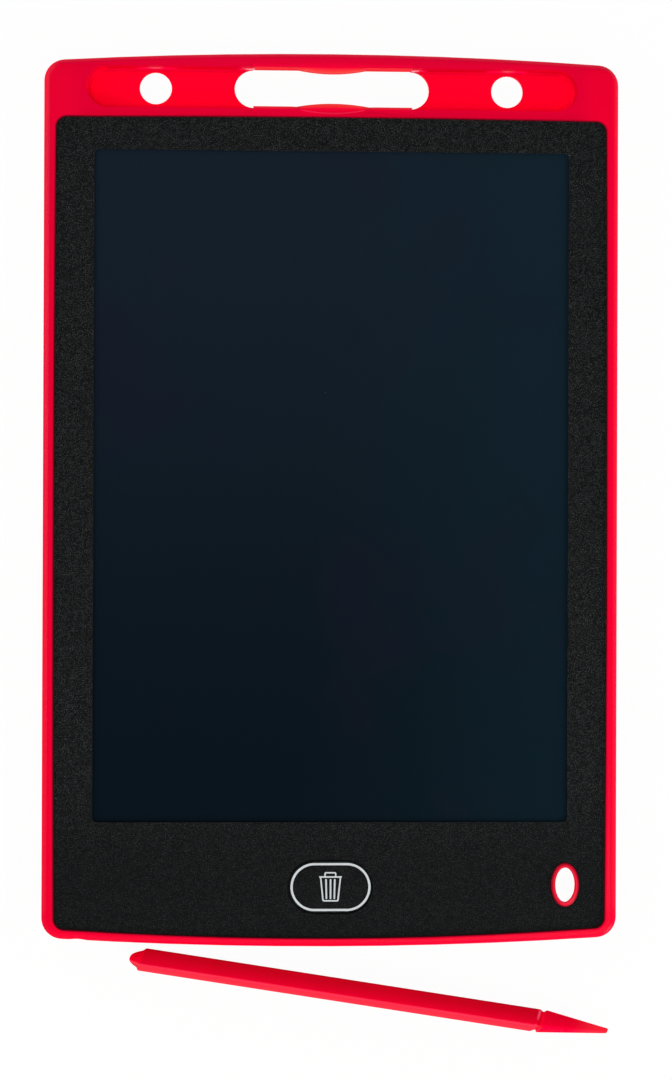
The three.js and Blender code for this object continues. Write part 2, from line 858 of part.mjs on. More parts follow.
function frontCase() {
  const low = parting_height - 2 * front_edge_radius;
  const blank = roundedPrism(caseOutline(0), low, case_thickness, front_edge_radius);
  const shell = blank.intersect(slab(parting_height, case_thickness + cut_overrun));
  const cavity = prism(caseOutline(side_wall), parting_height - cut_overrun, ledge_bottom);
  const plate_margin = fit_gap + lcd_plate;
  const plate = prism(lcdRectangle(plate_margin), plate_bottom, plate_top);
  const filled = shell.subtract(cavity).add(plate).add(trayBlock()).add(boardBosses());
  const ring = eyeletRing();
  const recess = prism(overlayOutline(-overlay_gap), ledge_top, case_thickness + cut_overrun);
  const pocket = prism(lcdRectangle(fit_gap), plate_top, case_thickness + cut_overrun);
  const tail_slot = box(
    tail_left - fit_gap, tail_right + fit_gap, tail_drop - tail_thickness - fit_gap, lcd_lower,
    plate_bottom - cut_overrun, ledge_top + cut_overrun,
  );
  const inside = unite([pocket, bayCut(), boardBossBores(), snapRecesses(), tail_slot]);
  const cuts = unite([recess, inside, trayCut(), pryNotch()]);
  const outer_top = case_thickness - rim_above_overlay;
  const outer = bulge(1, outer_bulge_length, outer_bulge_height, outer_top).subtract(scoop(1));
  const inner = bulge(-1, inner_bulge_length, inner_bulge_height, case_thickness);
  const opened = filled.subtract(cuts).add(ring).add(outer).add(inner);
  return opened.subtract(scoop(-1)).subtract(eyeletBore());
}

// Films and tapes of the front

function windowRectangle(margin) {
  const half = window_half_width + margin;
  const radius = window_corner_radius + margin;
  return roundedRectangle(-half, half, window_lower - margin, window_upper + margin, radius);
}

function overlaySheet(inset, low, high, margin) {
  const sheet = prism(overlayOutline(inset), low, high);
  const below = low - cut_overrun;
  const above = high + cut_overrun;
  const window_cut = prism(windowRectangle(margin), below, above);
  const eyelet_width = eyelet_outer_width + 2 * (overlay_gap + margin);
  const eyelet_length = eyelet_outer_length + 2 * (overlay_gap + margin);
  const eyelet_cut = prism(oval(eyelet_x, eyelet_y, eyelet_width, eyelet_length), below, above);
  const pad_length = key_pad_length + 2 * (fit_gap + margin);
  const pad_width = key_pad_width + 2 * (fit_gap + margin);
  const pad_cut = prism(stadium(0, key_y, pad_length, pad_width), below, above);
  return sheet.subtract(unite([window_cut, eyelet_cut, pad_cut]));
}

// Erase key

const plunger_length = key_pad_length - 2 * plunger_margin;
const plunger_width = key_pad_width - 2 * plunger_margin;
const ear_top = bay_ceiling - plunger_foot_gap;

function erasePad() {
  return prism(stadium(0, key_y, key_pad_length, key_pad_width), overlay_bottom, overlay_top);
}

function erasePlunger() {
  const cap = prism(stadium(0, key_y, plunger_length, plunger_width), ear_top, overlay_bottom);
  const reach = plunger_length / 2 + ear_length;
  const ears = [-1, 1].map((side) => boxAt(
    side * (reach - (ear_length + ear_root) / 2),
    key_y,
    ear_length + ear_root,
    ear_width,
    ear_top - ear_thickness,
    ear_top,
  ));
  return unite([cap, ...ears]);
}

function tactStem() {
  return drum(0, key_y, stem_radius, board_top + switch_height - stem_guide, ear_top, small_sides);
}

function tactSwitchBase() {
  const top = board_top + switch_height;
  const body = boxAt(0, key_y, switch_size, switch_size, board_top, top);
  const low = board_top + switch_floor;
  const bore = drum(0, key_y, stem_radius + fit_gap, low, top + cut_overrun, small_sides);
  return body.subtract(bore);
}

// Circuit board and what stands on it

function leverSlot(low, high) {
  const length = lever_size + lock_travel + 2 * fit_gap;
  return boxAt(lock_x, key_y, length, lever_size + 2 * fit_gap, low, high);
}

function circuitBoard() {
  const lower = key_y - board_below_key;
  const upper = key_y + board_above_key;
  const shape = roundedRectangle(board_left, board_right, lower, upper, board_corner_radius);
  const board = prism(shape, board_height, board_top);
  const below = board_height - cut_overrun;
  const above = board_top + cut_overrun;
  const radius = screw_shank_radius + fit_gap;
  const holes = boardScrewPlaces().map(({ x, y }) => drum(x, y, radius, below, above, small_sides));
  return board.subtract(unite([leverSlot(below, above), ...holes]));
}

function boardScrew({ x, y }) {
  const tip = bay_ceiling - screw_tip_gap;
  const head = board_height - screw_head_thickness;
  const profile = [
    [0, head],
    [screw_head_radius, head],
    [screw_head_radius, board_height],
    [screw_shank_radius, board_height],
    [screw_shank_radius, tip],
    [0, tip],
  ];
  return turned(x, y, profile, small_sides);
}

function boardPart(size, place) {
  return boxAt(place.x, key_y + place.y, size.width, size.depth, board_top, board_top + size.height);
}

function addRow(name, size, place, material, along) {
  for (let index = 0; index < place.count; index += 1) {
    const x = place.x + (along === 'x' ? index * place.pitch : 0);
    const y = place.y + (along === 'y' ? index * place.pitch : 0);
    addPiece(`${name}_${index + 1}`, boardPart(size, { x, y }), material);
  }
}

function slideSwitchBody() {
  const top = board_top + slide_body_height;
  const body = boxAt(lock_x, key_y, slide_body_length, slide_body_width, board_top, top);
  return body.subtract(leverSlot(board_top - cut_overrun, top - slide_body_roof));
}

// Lead from the display down to the board, a thin strip bent twice.
function lcdTail() {
  const high = lcd_bottom + lcd_thickness / 2 + tail_thickness / 2;
  const turn = tail_drop;
  const board_edge = key_y + board_above_key;
  const end = board_edge - tail_foot;
  const foot = board_top + tail_thickness;
  const profile = [
    [lcd_lower, high],
    [turn - tail_thickness, high],
    [turn - tail_thickness, foot],
    [end, foot],
    [end, board_top],
    [turn, board_top],
    [turn, high - tail_thickness],
    [lcd_lower, high - tail_thickness],
  ];
  return profileAlongX(profile, tail_left, tail_width);
}

// Battery, contacts and door

function coinCell() {
  const can_top = cell_top - cell_cap_step;
  const profile = [
    [0, cell_bottom],
    [cell_radius - cell_rim_radius, cell_bottom],
    [cell_radius, cell_bottom + cell_rim_radius],
    [cell_radius, can_top - cell_rim_radius],
    [cell_radius - cell_rim_radius, can_top],
    [cell_cap_radius, can_top],
    [cell_cap_radius, cell_top],
    [0, cell_top],
  ];
  return turned(cell_x, cell_y, profile, round_sides);
}

// Both leaves stand on the board at the height of the cell's top.
function batteryMinusContact() {
  const right = board_left + contact_foot;
  return box(
    cell_x - minus_reach, right, cell_y - contact_width / 2, cell_y + contact_width / 2,
    cell_top, cell_top + contact_sheet,
  );
}

function batteryPlusContact() {
  const middle = cell_y - plus_below_cell;
  const nearest = plus_below_cell - plus_width / 2;
  const rim = cell_x + Math.sqrt(cell_radius ** 2 - nearest ** 2) + contact_rim_gap;
  const foot_end = board_left + contact_foot;
  const low = door_ledge_top + contact_slot_play;
  const high = cell_top + contact_sheet;
  const profile = [
    [rim, low],
    [rim + contact_sheet, low],
    [rim + contact_sheet, cell_top],
    [foot_end, cell_top],
    [foot_end, high],
    [rim, high],
  ];
  return profileAlongY(profile, middle, plus_width);
}

function batteryDoor() {
  const plate = prism(doorOutline(0), 0, door_thickness);
  const tabs = doorTabRows().map((y) => box(
    door_hinge_x - door_tab_root,
    door_hinge_x + door_tab_length,
    y - door_tab_width / 2,
    y + door_tab_width / 2,
    door_thickness - door_tab_thickness,
    door_thickness,
  ));
  const seat = door_screw_recess + door_screw_head_depth;
  const head = drum(
    door_screw_x, cell_y, door_screw_head_radius + door_ledge_gap, -cut_overrun, seat, small_sides,
  );
  const hole_radius = door_screw_shank_radius + door_ledge_gap;
  const hole_top = door_thickness + cut_overrun;
  const hole = drum(door_screw_x, cell_y, hole_radius, 0, hole_top, small_sides);
  return unite([plate, ...tabs]).subtract(head.add(hole));
}

function doorFoamPad() {
  return boxAt(cell_x, cell_y, door_pad_size, door_pad_size, door_thickness, cell_bottom);
}

function doorScrew() {
  const seat = door_screw_recess + door_screw_head_depth;
  const profile = [
    [0, door_screw_recess],
    [door_screw_head_radius, door_screw_recess],
    [door_screw_head_radius, seat],
    [door_screw_shank_radius, seat],
    [door_screw_shank_radius, door_screw_top],
    [0, door_screw_top],
  ];
  const screw = turned(door_screw_x, cell_y, profile, small_sides);
  const deep = door_screw_recess + driver_slot_depth;
  const across = boxAt(door_screw_x, cell_y, driver_slot_length, driver_slot_width, 0, deep);
  const along = boxAt(door_screw_x, cell_y, driver_slot_width, driver_slot_length, 0, deep);
  return screw.subtract(across.add(along));
}

// Lock slider, shown at the left end of its travel

const slider_x = lock_x - lock_travel / 2;
const flange_low = back_skin + slide_gap;
const flange_high = flange_low + flange_thickness;

function lockSlider() {
  const flange = boxAt(
    slider_x, key_y, grip_length + 2 * flange_margin, grip_width + 2 * flange_side, flange_low, flange_high,
  );
  const grip = boxAt(slider_x, key_y, grip_length, grip_width, grip_recess, flange_high);
  const first = slider_x - ((grip_groove_count - 1) * grip_groove_pitch) / 2;
  const grooves = Array.from({ length: grip_groove_count }, (unused, index) => boxAt(
    first + index * grip_groove_pitch,
    key_y,
    grip_groove_width,
    grip_width + cut_overrun,
    0,
    grip_recess + grip_groove_depth,
  ));
  const socket_size = lever_size + 2 * slide_gap;
  const socket = boxAt(
    slider_x, key_y, socket_size, socket_size, grip_recess + lever_socket_floor, flange_high + cut_overrun,
  );
  return flange.add(grip).subtract(unite([socket, ...grooves]));
}

function slideSwitchLever() {
  const top = board_top + slide_body_height - slide_body_roof - lever_top_gap;
  return boxAt(slider_x, key_y, lever_size, lever_size, grip_recess + lever_socket_floor, top);
}

// Stylus

// A flat back, two flanks that lean in by the draft, a narrower front and rounded edges.
function stylusSection() {
  const half_back = stylus_back_width / 2;
  const half_front = half_back - stylus_thickness * Math.tan(stylus_draft_angle);
  const corners = [
    { x: half_back, y: 0 },
    { x: half_front, y: stylus_thickness },
    { x: -half_front, y: stylus_thickness },
    { x: -half_back, y: 0 },
  ];
  const runs = corners.map((corner, index) => {
    const before = corners[(index + corners.length - 1) % corners.length];
    const after = corners[(index + 1) % corners.length];
    const at = new THREE.Vector2(corner.x, corner.y);
    const back = new THREE.Vector2(before.x, before.y).sub(at).normalize();
    const ahead = new THREE.Vector2(after.x, after.y).sub(at).normalize();
    const half_angle = Math.acos(back.dot(ahead)) / 2;
    const run_in = stylus_edge_radius / Math.tan(half_angle);
    const start = at.clone().addScaledVector(back, run_in);
    const end = at.clone().addScaledVector(ahead, run_in);
    return new THREE.QuadraticBezierCurve(start, at, end).getPoints(edge_steps);
  });
  return outline(...runs);
}

// Stations along the stylus, from the tail nub to the tip, each with the share of the full section.
function stylusStations() {
  const barrel_end = stylus_length - stylus_tip_length - stylus_groove_length;
  const tip_start = stylus_length - stylus_tip_length;
  const groove = barrel_end + stylus_groove_length / 2;
  const nub_span_share = stylus_nub_share - stylus_nub_end_share;
  const nub = Array.from({ length: nub_steps + 1 }, (_, step) => [
    stylus_nub_length * (step / nub_steps) ** 2,
    stylus_nub_end_share + (nub_span_share * step) / nub_steps,
  ]);
  return [
    ...nub,
    [stylus_nub_length + (3 * stylus_shoulder) / 2, 1],
    [barrel_end - stylus_shoulder, 1],
    [barrel_end, (3 + stylus_groove_share) / 4],
    [groove - stylus_shoulder / 2, stylus_groove_share],
    [groove + stylus_shoulder / 2, stylus_groove_share],
    [tip_start - stylus_shoulder, (1 + stylus_groove_share) / 2],
    [tip_start, 1],
    [stylus_length - stylus_shoulder, stylus_tip_share],
    [stylus_length, stylus_tip_end_share],
  ];
}

// The sections lean, so that both ends of the barrel reach further along the front than along the back.
function stylusBody() {
  const stations = stylusStations();
  const steps = stations.length - 1;
  const geometry = new THREE.ExtrudeGeometry(stylusSection(), { depth: 1, steps, bevelEnabled: false });
  const position = geometry.attributes.position;
  const middle = stylus_thickness / 2;
  for (let i = 0; i < position.count; i += 1) {
    const [along, share] = stations[Math.round(position.getZ(i) * steps)];
    const rise = (position.getY(i) - middle) * share;
    const lean = (stylus_end_lean * rise) / stylus_thickness;
    position.setXYZ(i, position.getX(i) * share, middle + rise, along + lean);
  }
  geometry.rotateX(Math.PI / 2);
  geometry.rotateZ(Math.PI / 2);
  return solid(geometry);
}

function addStylus() {
  const place = new THREE.Group();
  place.position.set(stylus_x, -case_half - stylus_below_case, 0);
  place.rotation.z = stylus_heading_angle;
  const mesh = addPiece('stylus', stylusBody(), red_plastic, place);
  const roll = Math.PI / 2 + stylus_draft_angle;
  mesh.rotation.x = -roll;
  mesh.position.z = (stylus_back_width / 2) * Math.cos(stylus_draft_angle);
  mesh.position.y = (-stylus_thickness / 2) * Math.sin(roll);
  pieces.add(place);
}

addPiece('back_cover', backCover(), red_plastic);
addPiece('front_case', frontCase(), red_plastic);
addPiece('lcd_adhesive', lcdAdhesive(), clear_tape);
addPiece('lcd_panel', prism(lcdRectangle(0), lcd_bottom, ledge_top), dark_display);
addPiece('overlay_adhesive', overlaySheet(tape_inset, ledge_top, overlay_bottom, fit_gap), clear_tape);
addPiece('front_overlay', overlaySheet(0, overlay_bottom, overlay_top, 0), black_film);
addPiece('erase_pad', erasePad(), black_film);
addPiece('erase_plunger', erasePlunger(), white_plastic);
addPiece('tact_stem', tactStem(), black_resin);
addPiece('tact_switch_base', tactSwitchBase(), plated_steel);
addPiece('circuit_board', circuitBoard(), board_green);
boardScrewPlaces().forEach((place, index) => {
  addPiece(`board_screw_${index + 1}`, boardScrew(place), plated_steel);
});
addPiece('driver_chip', boardPart(chip_size, chip_place), black_resin);
addPiece('boost_inductor', boardPart(inductor_size, inductor_place), black_resin);
const capacitor_row = { ...capacitor_place, x: board_left + capacitor_inset };
addRow('capacitor', capacitor_size, capacitor_row, tan_ceramic, 'x');
addRow('resistor', resistor_size, resistor_place, black_resin, 'x');
addRow('diode', diode_size, diode_place, black_resin, 'y');
addPiece('slide_switch_body', slideSwitchBody(), plated_steel);
addPiece('slide_switch_lever', slideSwitchLever(), black_resin);
addPiece('lock_slider', lockSlider(), red_plastic);
addPiece('lcd_tail', lcdTail(), amber_film);
addPiece('coin_cell', coinCell(), plated_steel);
addPiece('battery_minus_contact', batteryMinusContact(), plated_steel);
addPiece('battery_plus_contact', batteryPlusContact(), plated_steel);
addPiece('battery_door', batteryDoor(), red_plastic);
addPiece('door_foam_pad', doorFoamPad(), grey_foam);
addPiece('battery_door_screw', doorScrew(), plated_steel);
addStylus();

export default pieces;
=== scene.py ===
"""Dresses a packed writing tablet and its stylus, and builds the studio around them.

Everything is in metres. The tablet lies on its back: X runs across it, Y towards the pen tray, Z up.
"""

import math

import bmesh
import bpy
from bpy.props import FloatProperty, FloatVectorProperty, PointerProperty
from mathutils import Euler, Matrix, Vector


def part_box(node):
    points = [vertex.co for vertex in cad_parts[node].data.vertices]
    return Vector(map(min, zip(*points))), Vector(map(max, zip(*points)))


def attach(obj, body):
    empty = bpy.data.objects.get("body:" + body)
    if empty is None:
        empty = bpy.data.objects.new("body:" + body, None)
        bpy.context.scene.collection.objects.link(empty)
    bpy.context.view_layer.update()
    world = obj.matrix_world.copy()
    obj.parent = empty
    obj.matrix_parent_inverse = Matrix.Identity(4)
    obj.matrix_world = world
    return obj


bl_info = {
    "name": "Writing tablet dresser",
    "version": (1, 0, 0),
    "blender": (4, 5, 0),
    "location": "3D View > Sidebar > Tablet",
    "description": "Finishes for a pressure-writing tablet, its key print and a plain studio",
    "category": "Object",
}

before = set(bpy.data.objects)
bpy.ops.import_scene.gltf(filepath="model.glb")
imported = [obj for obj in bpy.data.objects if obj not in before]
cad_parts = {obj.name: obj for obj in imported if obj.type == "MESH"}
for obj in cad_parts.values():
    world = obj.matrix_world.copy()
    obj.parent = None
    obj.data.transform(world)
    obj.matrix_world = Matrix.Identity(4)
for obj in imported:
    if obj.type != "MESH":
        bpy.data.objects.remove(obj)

MM = 0.001
COAT = 0.22
WALL_COAT = 0.9
WELD_REACH = 0.002 * MM
SHARP_ANGLE = math.radians(38)
CORNER_STEPS = 4
RING_SIDES = 64
PRINT_SHIFT = 0.08 * MM

# The studio: each lamp is a name, a place and a size in metres; the sensor's height is in millimetres

AIM = (0, -0.01, 0)
LAMPS = (
    ("key_lamp", (0.4, -0.75, 1.05), 0.8),
    ("rim_lamp", (0.95, -0.9, 0.35), 0.5),
    ("fill_lamp", (-1.0, 0.45, 0.6), 1.3),
)
FLOOR_DROP = 0.3 * MM
FLOOR_SHADOW = 0.03
FLOOR_LIGHT = 0.8
SURROUND_LEAN = 0.25
SURROUND_FADE = (0.5, 0.85)
SURROUND_DARK = 0.02
SENSOR_HEIGHT = 36


def tone(red, green, blue):
    """The linear colour of a screen colour given from 0 to 255."""
    def linear(level):
        share = level / 255
        return share / 12.92 if share <= 0.04045 else ((share + 0.055) / 1.055) ** 2.4

    return linear(red), linear(green), linear(blue)


def colour(name, description, default):
    return FloatVectorProperty(
        name=name, description=description, subtype="COLOR", size=3, min=0, max=1, default=default)


def length(name, description, default):
    return FloatProperty(name=name, description=description, unit="LENGTH", min=0, default=default)


# Sizes and colours that a user would change


class TABLET_PG_finish(bpy.types.PropertyGroup):
    shell_red: colour("Shell", "Red of the case around the tray", tone(230, 0, 50))
    # Painted light: a lighter red over the rims, for the light on their rounded edges
    rim_lit_red: colour("Rim", "Red of the case's rims", tone(242, 0, 48))
    glow_red: colour("Thin shell", "Red of the case where light comes through it", tone(255, 0, 42))
    # Painted light: orange of the light coming through the thin edges at the slot
    slot_glow_orange: colour("Slot edge", "Orange red of the thin edges at the slot", tone(194, 92, 60))
    # Painted shade: deeper red over the upright walls
    wall_shade_red: colour("Wall", "Deeper red over the upright walls", tone(196, 0, 34))
    stylus_red: colour("Stylus", "Red of the stylus", tone(255, 0, 50))
    # Painted shade along the upper flank of the stylus
    stylus_shade: colour("Stylus shade", "Deeper red along the upper flank of the stylus", tone(215, 1, 32))
    film_black: colour("Film", "Base of the front film", tone(7, 8, 9))
    film_grain: colour("Film grain", "Light grains of the front film", tone(60, 62, 62))
    display_top: colour("Display top", "Display colour near the tray", tone(21, 32, 43))
    display_foot: colour("Display foot", "Display colour near the key", tone(9, 20, 28))
    print_grey: colour("Print", "Light grey of the key's print", tone(207, 211, 213))
    grain_size: length("Grain", "Distance between the grains of the film", 0.27 * MM)


class TABLET_PG_print(bpy.types.PropertyGroup):
    ring_length: length("Ring length", "Outer length of the ring around the key", 20.2 * MM)
    ring_width: length("Ring width", "Outer width of the ring around the key", 12.11 * MM)
    ring_stroke: length("Ring stroke", "Line width of the ring", 0.57 * MM)
    bin_stroke: length("Bin stroke", "Line width of the bin's outline", 0.36 * MM)
    rib_stroke: length("Rib stroke", "Line width of the bin's ribs", 0.42 * MM)
    ink: length("Ink", "Thickness of the print", 0.03 * MM)


class TABLET_PG_studio(bpy.types.PropertyGroup):
    camera_place: FloatVectorProperty(
        name="Camera", description="Place of the camera", subtype="XYZ", unit="LENGTH",
        default=(-0.04062, -0.01328, 0.8))
    camera_turn: FloatVectorProperty(
        name="Camera turn", description="Turn of the camera", subtype="EULER",
        default=(math.radians(0.22), math.radians(-3.012), math.radians(0.192)))
    lens: FloatProperty(name="Lens", description="Focal length in millimetres", min=1, default=105.28)
    key_power: FloatProperty(name="Key lamp", description="Power of the high lamp", unit="POWER", default=4.4)
    rim_power: FloatProperty(name="Rim lamp", description="Power of the low lamp", unit="POWER", default=12)
    fill_power: FloatProperty(name="Fill lamp", description="Power of the fill lamp", unit="POWER", default=8)
    floor_size: length("Floor", "Side of the square floor", 4)


# Nodes


def add_node(tree, kind, inputs=(), **settings):
    """A node with its settings; inputs pair a socket's name or number with a value or another socket."""
    node = tree.nodes.new(kind)
    for name, value in settings.items():
        setattr(node, name, value)
    for name, value in dict(inputs).items():
        if isinstance(value, bpy.types.NodeSocket):
            tree.links.new(value, node.inputs[name])
        elif isinstance(value, (tuple, list)) and len(value) == 3 and node.inputs[name].type == "RGBA":
            node.inputs[name].default_value = (*value, 1)
        else:
            node.inputs[name].default_value = value
    return node


def math_node(tree, operation, first, second=0.0):
    return add_node(tree, "ShaderNodeMath", {0: first, 1: second}, operation=operation).outputs[0]


def chain(tree, operation, values):
    total = values[0]
    for value in values[1:]:
        total = math_node(tree, operation, total, value)
    return total


def sum_of(tree, *values):
    return chain(tree, "ADD", values)


def product(tree, *values):
    return chain(tree, "MULTIPLY", values)


def largest(tree, *values):
    return chain(tree, "MAXIMUM", values)


def minus(tree, first, second):
    return math_node(tree, "SUBTRACT", first, second)


def ratio(tree, first, second):
    return math_node(tree, "DIVIDE", first, second)


def unsigned(tree, value):
    return math_node(tree, "ABSOLUTE", value)


def rest_of(tree, share):
    """What a share leaves of 1."""
    return minus(tree, 1.0, share)


def diagonal(tree, across, along):
    """The length of two offsets at right angles."""
    squares = sum_of(tree, product(tree, across, across), product(tree, along, along))
    return math_node(tree, "SQRT", squares)


def ramp(tree, value, start, end, low=0.0, high=1.0):
    """A smooth step of a value from start to end."""
    inputs = {"Value": value, "From Min": start, "From Max": end, "To Min": low, "To Max": high}
    return add_node(tree, "ShaderNodeMapRange", inputs, interpolation_type="SMOOTHSTEP").outputs[0]


def band(tree, value, ends, low=0.0, high=1.0):
    """A smooth step of a length, between two places in millimetres."""
    return ramp(tree, value, ends[0] * MM, ends[1] * MM, low, high)


def mix(tree, share, first, second):
    return add_node(tree, "ShaderNodeMix", {0: share, 6: first, 7: second}, data_type="RGBA").outputs[2]


def layered(tree, base, *layers):
    """Lays colours over a base one after the other; each layer is a share and a colour."""
    for share, paint in layers:
        base = mix(tree, share, base, paint)
    return base


def noise(tree, place, scale, detail=2.0, roughness=0.5):
    inputs = {"Vector": place, "Scale": scale, "Detail": detail, "Roughness": roughness}
    return add_node(tree, "ShaderNodeTexNoise", inputs).outputs[0]


def bump(tree, height, distance, strength=1.0):
    inputs = {"Height": height, "Distance": distance, "Strength": strength}
    return add_node(tree, "ShaderNodeBump", inputs).outputs[0]


def object_place(tree):
    return add_node(tree, "ShaderNodeTexCoord").outputs["Object"]


def split(tree, place):
    return add_node(tree, "ShaderNodeSeparateXYZ", {0: place}).outputs


def new_material(name, **constants):
    """A material with one main shader whose plain values are set on its own sockets."""
    material = bpy.data.materials.new(name)
    material.use_nodes = True
    tree = material.node_tree
    tree.nodes.clear()
    shader = tree.nodes.new("ShaderNodeBsdfPrincipled")
    output = tree.nodes.new("ShaderNodeOutputMaterial")
    tree.links.new(shader.outputs[0], output.inputs["Surface"])
    for socket, value in constants.items():
        shader.inputs[socket.replace("_", " ")].default_value = value
    return material, tree, shader


def red_material(name, roughness, light):
    """Deep red plastic, glossy only in a thin clear skin; light is the colour that comes through it."""
    return new_material(
        name, Specular_IOR_Level=0.0, Coat_Weight=COAT, Coat_Roughness=roughness, Emission_Color=(*light, 1))


def feed(tree, shader, **sockets):
    for socket, source in sockets.items():
        tree.links.new(source, shader.inputs[socket.replace("_", " ")])


def give(names, material):
    """Puts one material on CAD nodes."""
    for name in names:
        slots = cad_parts[name].data.materials
        slots.clear()
        slots.append(material)


def soften(names, level=False):
    """Joins a CAD node's loose triangles and shades it smooth between its sharp edges.

    With level, wide flat faces keep an even shade up to their rounded edges.
    """
    for name in names:
        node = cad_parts[name]
        for polygon in node.data.polygons:
            polygon.use_smooth = True
        weld = node.modifiers.new("Join", "WELD")
        weld.merge_threshold = WELD_REACH
        cut = node.modifiers.new("Sharp", "EDGE_SPLIT")
        cut.split_angle = SHARP_ANGLE
        if level:
            weighted = node.modifiers.new("Level", "WEIGHTED_NORMAL")
            weighted.mode = "FACE_AREA"
            weighted.keep_sharp = True


# Places on the model in metres: the boxes are read from the pack, the others are given so as to lie on it
# The film's ends bow by X squared over their bow, and the arc by X squared times its bow

display_low, display_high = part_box("lcd_panel")
pad_low, pad_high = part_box("erase_pad")
KEY = (pad_low + pad_high) / 2
TRAY_Y = 103.61 * MM
TRAY_HALF = 61.9 * MM
TRAY_RADIUS = 5.235 * MM
GLINT_X = 44.25 * MM
NUB = (-50.3 * MM, -115.2 * MM)
EYELET = (59.4 * MM, -97 * MM)
EYELET_RING = (3.05 * MM, 4.91 * MM)
SLOT_LOW = 98.97 * MM
SLOT_HIGH = 108.76 * MM
SLOT_MIDDLE = 0.25 * MM
NECK_HALF = 20 * MM
BULGE_HALF = 9.2 * MM
BULGE_HEIGHT = 1.0 * MM
ARC_Y = 97.3 * MM
ARC_BOW = 13.8
FILM_HALF = 69.7 * MM
FILM_MIDDLE = -7 * MM
FILM_REACH = 103 * MM
FILM_SWELL = 0.35 * MM
FILM_TOP = 96.3 * MM
FILM_TOP_BOW = 11.2
FILM_FOOT = -110.3 * MM
FILM_FOOT_BOW = 1.9
FILM_CORNER = 2.6 * MM
STYLUS_TURN = math.radians(9)
CREASE = -0.96 * MM

# Bands of the shell and the film in millimetres: where a change starts and where it ends

RIM_SIDE = (61.5, 67)
RIM_FOOT = (-100, -107)
UPPER_BAND = (108.9, 109.3)
CORNER_SIDE = (-60, -67)
CORNER_RISE = (-60, 80)
CORNER_FADE = (88, 98)
LIP_BACK = (98.6, 96.6)
LIP_FRONT = (92, 95)
LIP_MIDDLE = (8, 22)
LIP_END = (60, 66)
LEFT_END = (-55, -59)
LEFT_CORNER = (TRAY_Y / MM, TRAY_Y / MM + 3)
MIDDLE_LINE = (TRAY_Y / MM, TRAY_Y / MM + 1)
WALL_FOOT = (-0.26, -0.18)
WALL_TOP = (0.0, 0.04)
NECK_END = (NECK_HALF / MM - 0.25, NECK_HALF / MM - 0.05)
ORANGE_END = (NECK_HALF / MM, NECK_HALF / MM + 0.3)
BULGE_START = (0.0, 0.5)
ARC_LINE = (0.06, 0.22)
ARC_END = (7, 9)
FILM_SHADOW = (0.08, 0.6)
FILM_SHADOW_SIDE = (-60, -66)
FILM_CUT = (-0.3, -0.02)
KEY_WELL = (7.6, 8.2)
TRAY_COAT = (-0.05, 0.3)
FOOT_COAT = (-101, -105)
SIDE_COAT = (-66, -70)
EDGE_COAT = (0.0, 0.15)
SLOT_POLISH_AND_GLINT = (22.4, 24.8)
HOLE_POLISH_AND_GLINT = (3.5, 6)
LOW_POLISH_AND_GLINT = (3.4, 4.2)
SHADE_END = (56, 59)
SHADE_FLOOR = (-1.7, -0.4)
SHADE_FOOT = (-0.26, -0.2)
LEFT_FLOOR = (-2.6, -0.3)
RIGHT_FLOOR = (-1.8, -0.1)
END_WALL = (1.2, 4.8)
SKIN_INSIDE = (-1.9, 0.2)
SKIN_FRONT = (0.6, 1.2)
GRAIN_FADE = (-70, -95)

# Bands of the eyelet, as shares of its ring

RING_EDGE = (1.5, 1.55)
BEAD_START = (0.86, 0.94)
BEAD_END = (0.95, 1.03)
EYELET_SHADE_START = (0.98, 1.2)
EYELET_SHADE_STOP = (1.5, 1.6)

# Bands of the stylus in millimetres, along it from its nub and across it from its middle

BARREL_END = (104.4, 105.8)
NECK_START = (103.6, 104.2)
NECK_STOP = (105.4, 106)
GLEAM_START = (103.5, 103.8)
GLEAM_STOP = (104.1, 104.4)
GLEAM_LOW = (0.2, 1.2)
GLEAM_HIGH = (2.6, 3.0)
POINT = (112, 121)
FLANK = (-1.4, 2.4)
FLANK_EDGE = (2.5, 3.0)
STRIP = (CREASE / MM - 0.4, CREASE / MM)
FOLD = (0.1, 0.45)
BACK_COAT = (CREASE / MM - 0.2, CREASE / MM + 0.5)

# Colours of small places

UPPER_RED = tone(237, 3, 54)
# Painted shade over the upper left corner of the case
CORNER_SHADE_RED = tone(216, 4, 54)
LIP_RED = tone(219, 0, 45)
# Painted shade on the tray's left end wall, lighter than on the other walls
END_WALL_LIT_RED = tone(232, 0, 36)
# Painted highlight: pink under the reflections on the tray's wall, where the coat is raised
GLINT_PINK = tone(240, 6, 96)
# Painted highlight along the arc under the slot
ARC_HIGHLIGHT = tone(250, 62, 96)
# Painted shade on the case along the film's edge
FILM_EDGE_SHADE = tone(92, 10, 30)
FILM_CUT_RED = tone(110, 14, 34)
# Painted shade in the well around the key
KEY_WELL_SHADE = tone(36, 38, 38)
EYELET_RED = tone(226, 6, 44)
# Painted highlight along the bead of the eyelet
EYELET_HIGHLIGHT = tone(240, 62, 84)
# Painted shade over the outer part of the eyelet's ring
EYELET_SHADE = tone(62, 4, 16)
DISPLAY_RIGHT = tone(15, 37, 47)
DISPLAY_CLOUD = tone(24, 23, 38)
DUST_BLUE = tone(88, 112, 128)
PRINT_SPREAD = tone(192, 197, 199)
# Painted shade along the top edge of the stylus's flank
FLANK_SHADE_RED = tone(150, 4, 24)
STRIP_RED = tone(236, 0, 44)
# Painted highlight along the stylus's crease
CREASE_PINK_HIGHLIGHT = tone(255, 70, 96)
GLEAM_PINK = tone(255, 90, 128)
# Painted sheen towards the stylus's point
POINT_SHEEN = tone(255, 56, 66)
STYLUS_CLOUD = tone(255, 0, 46)


# Distances over the shell


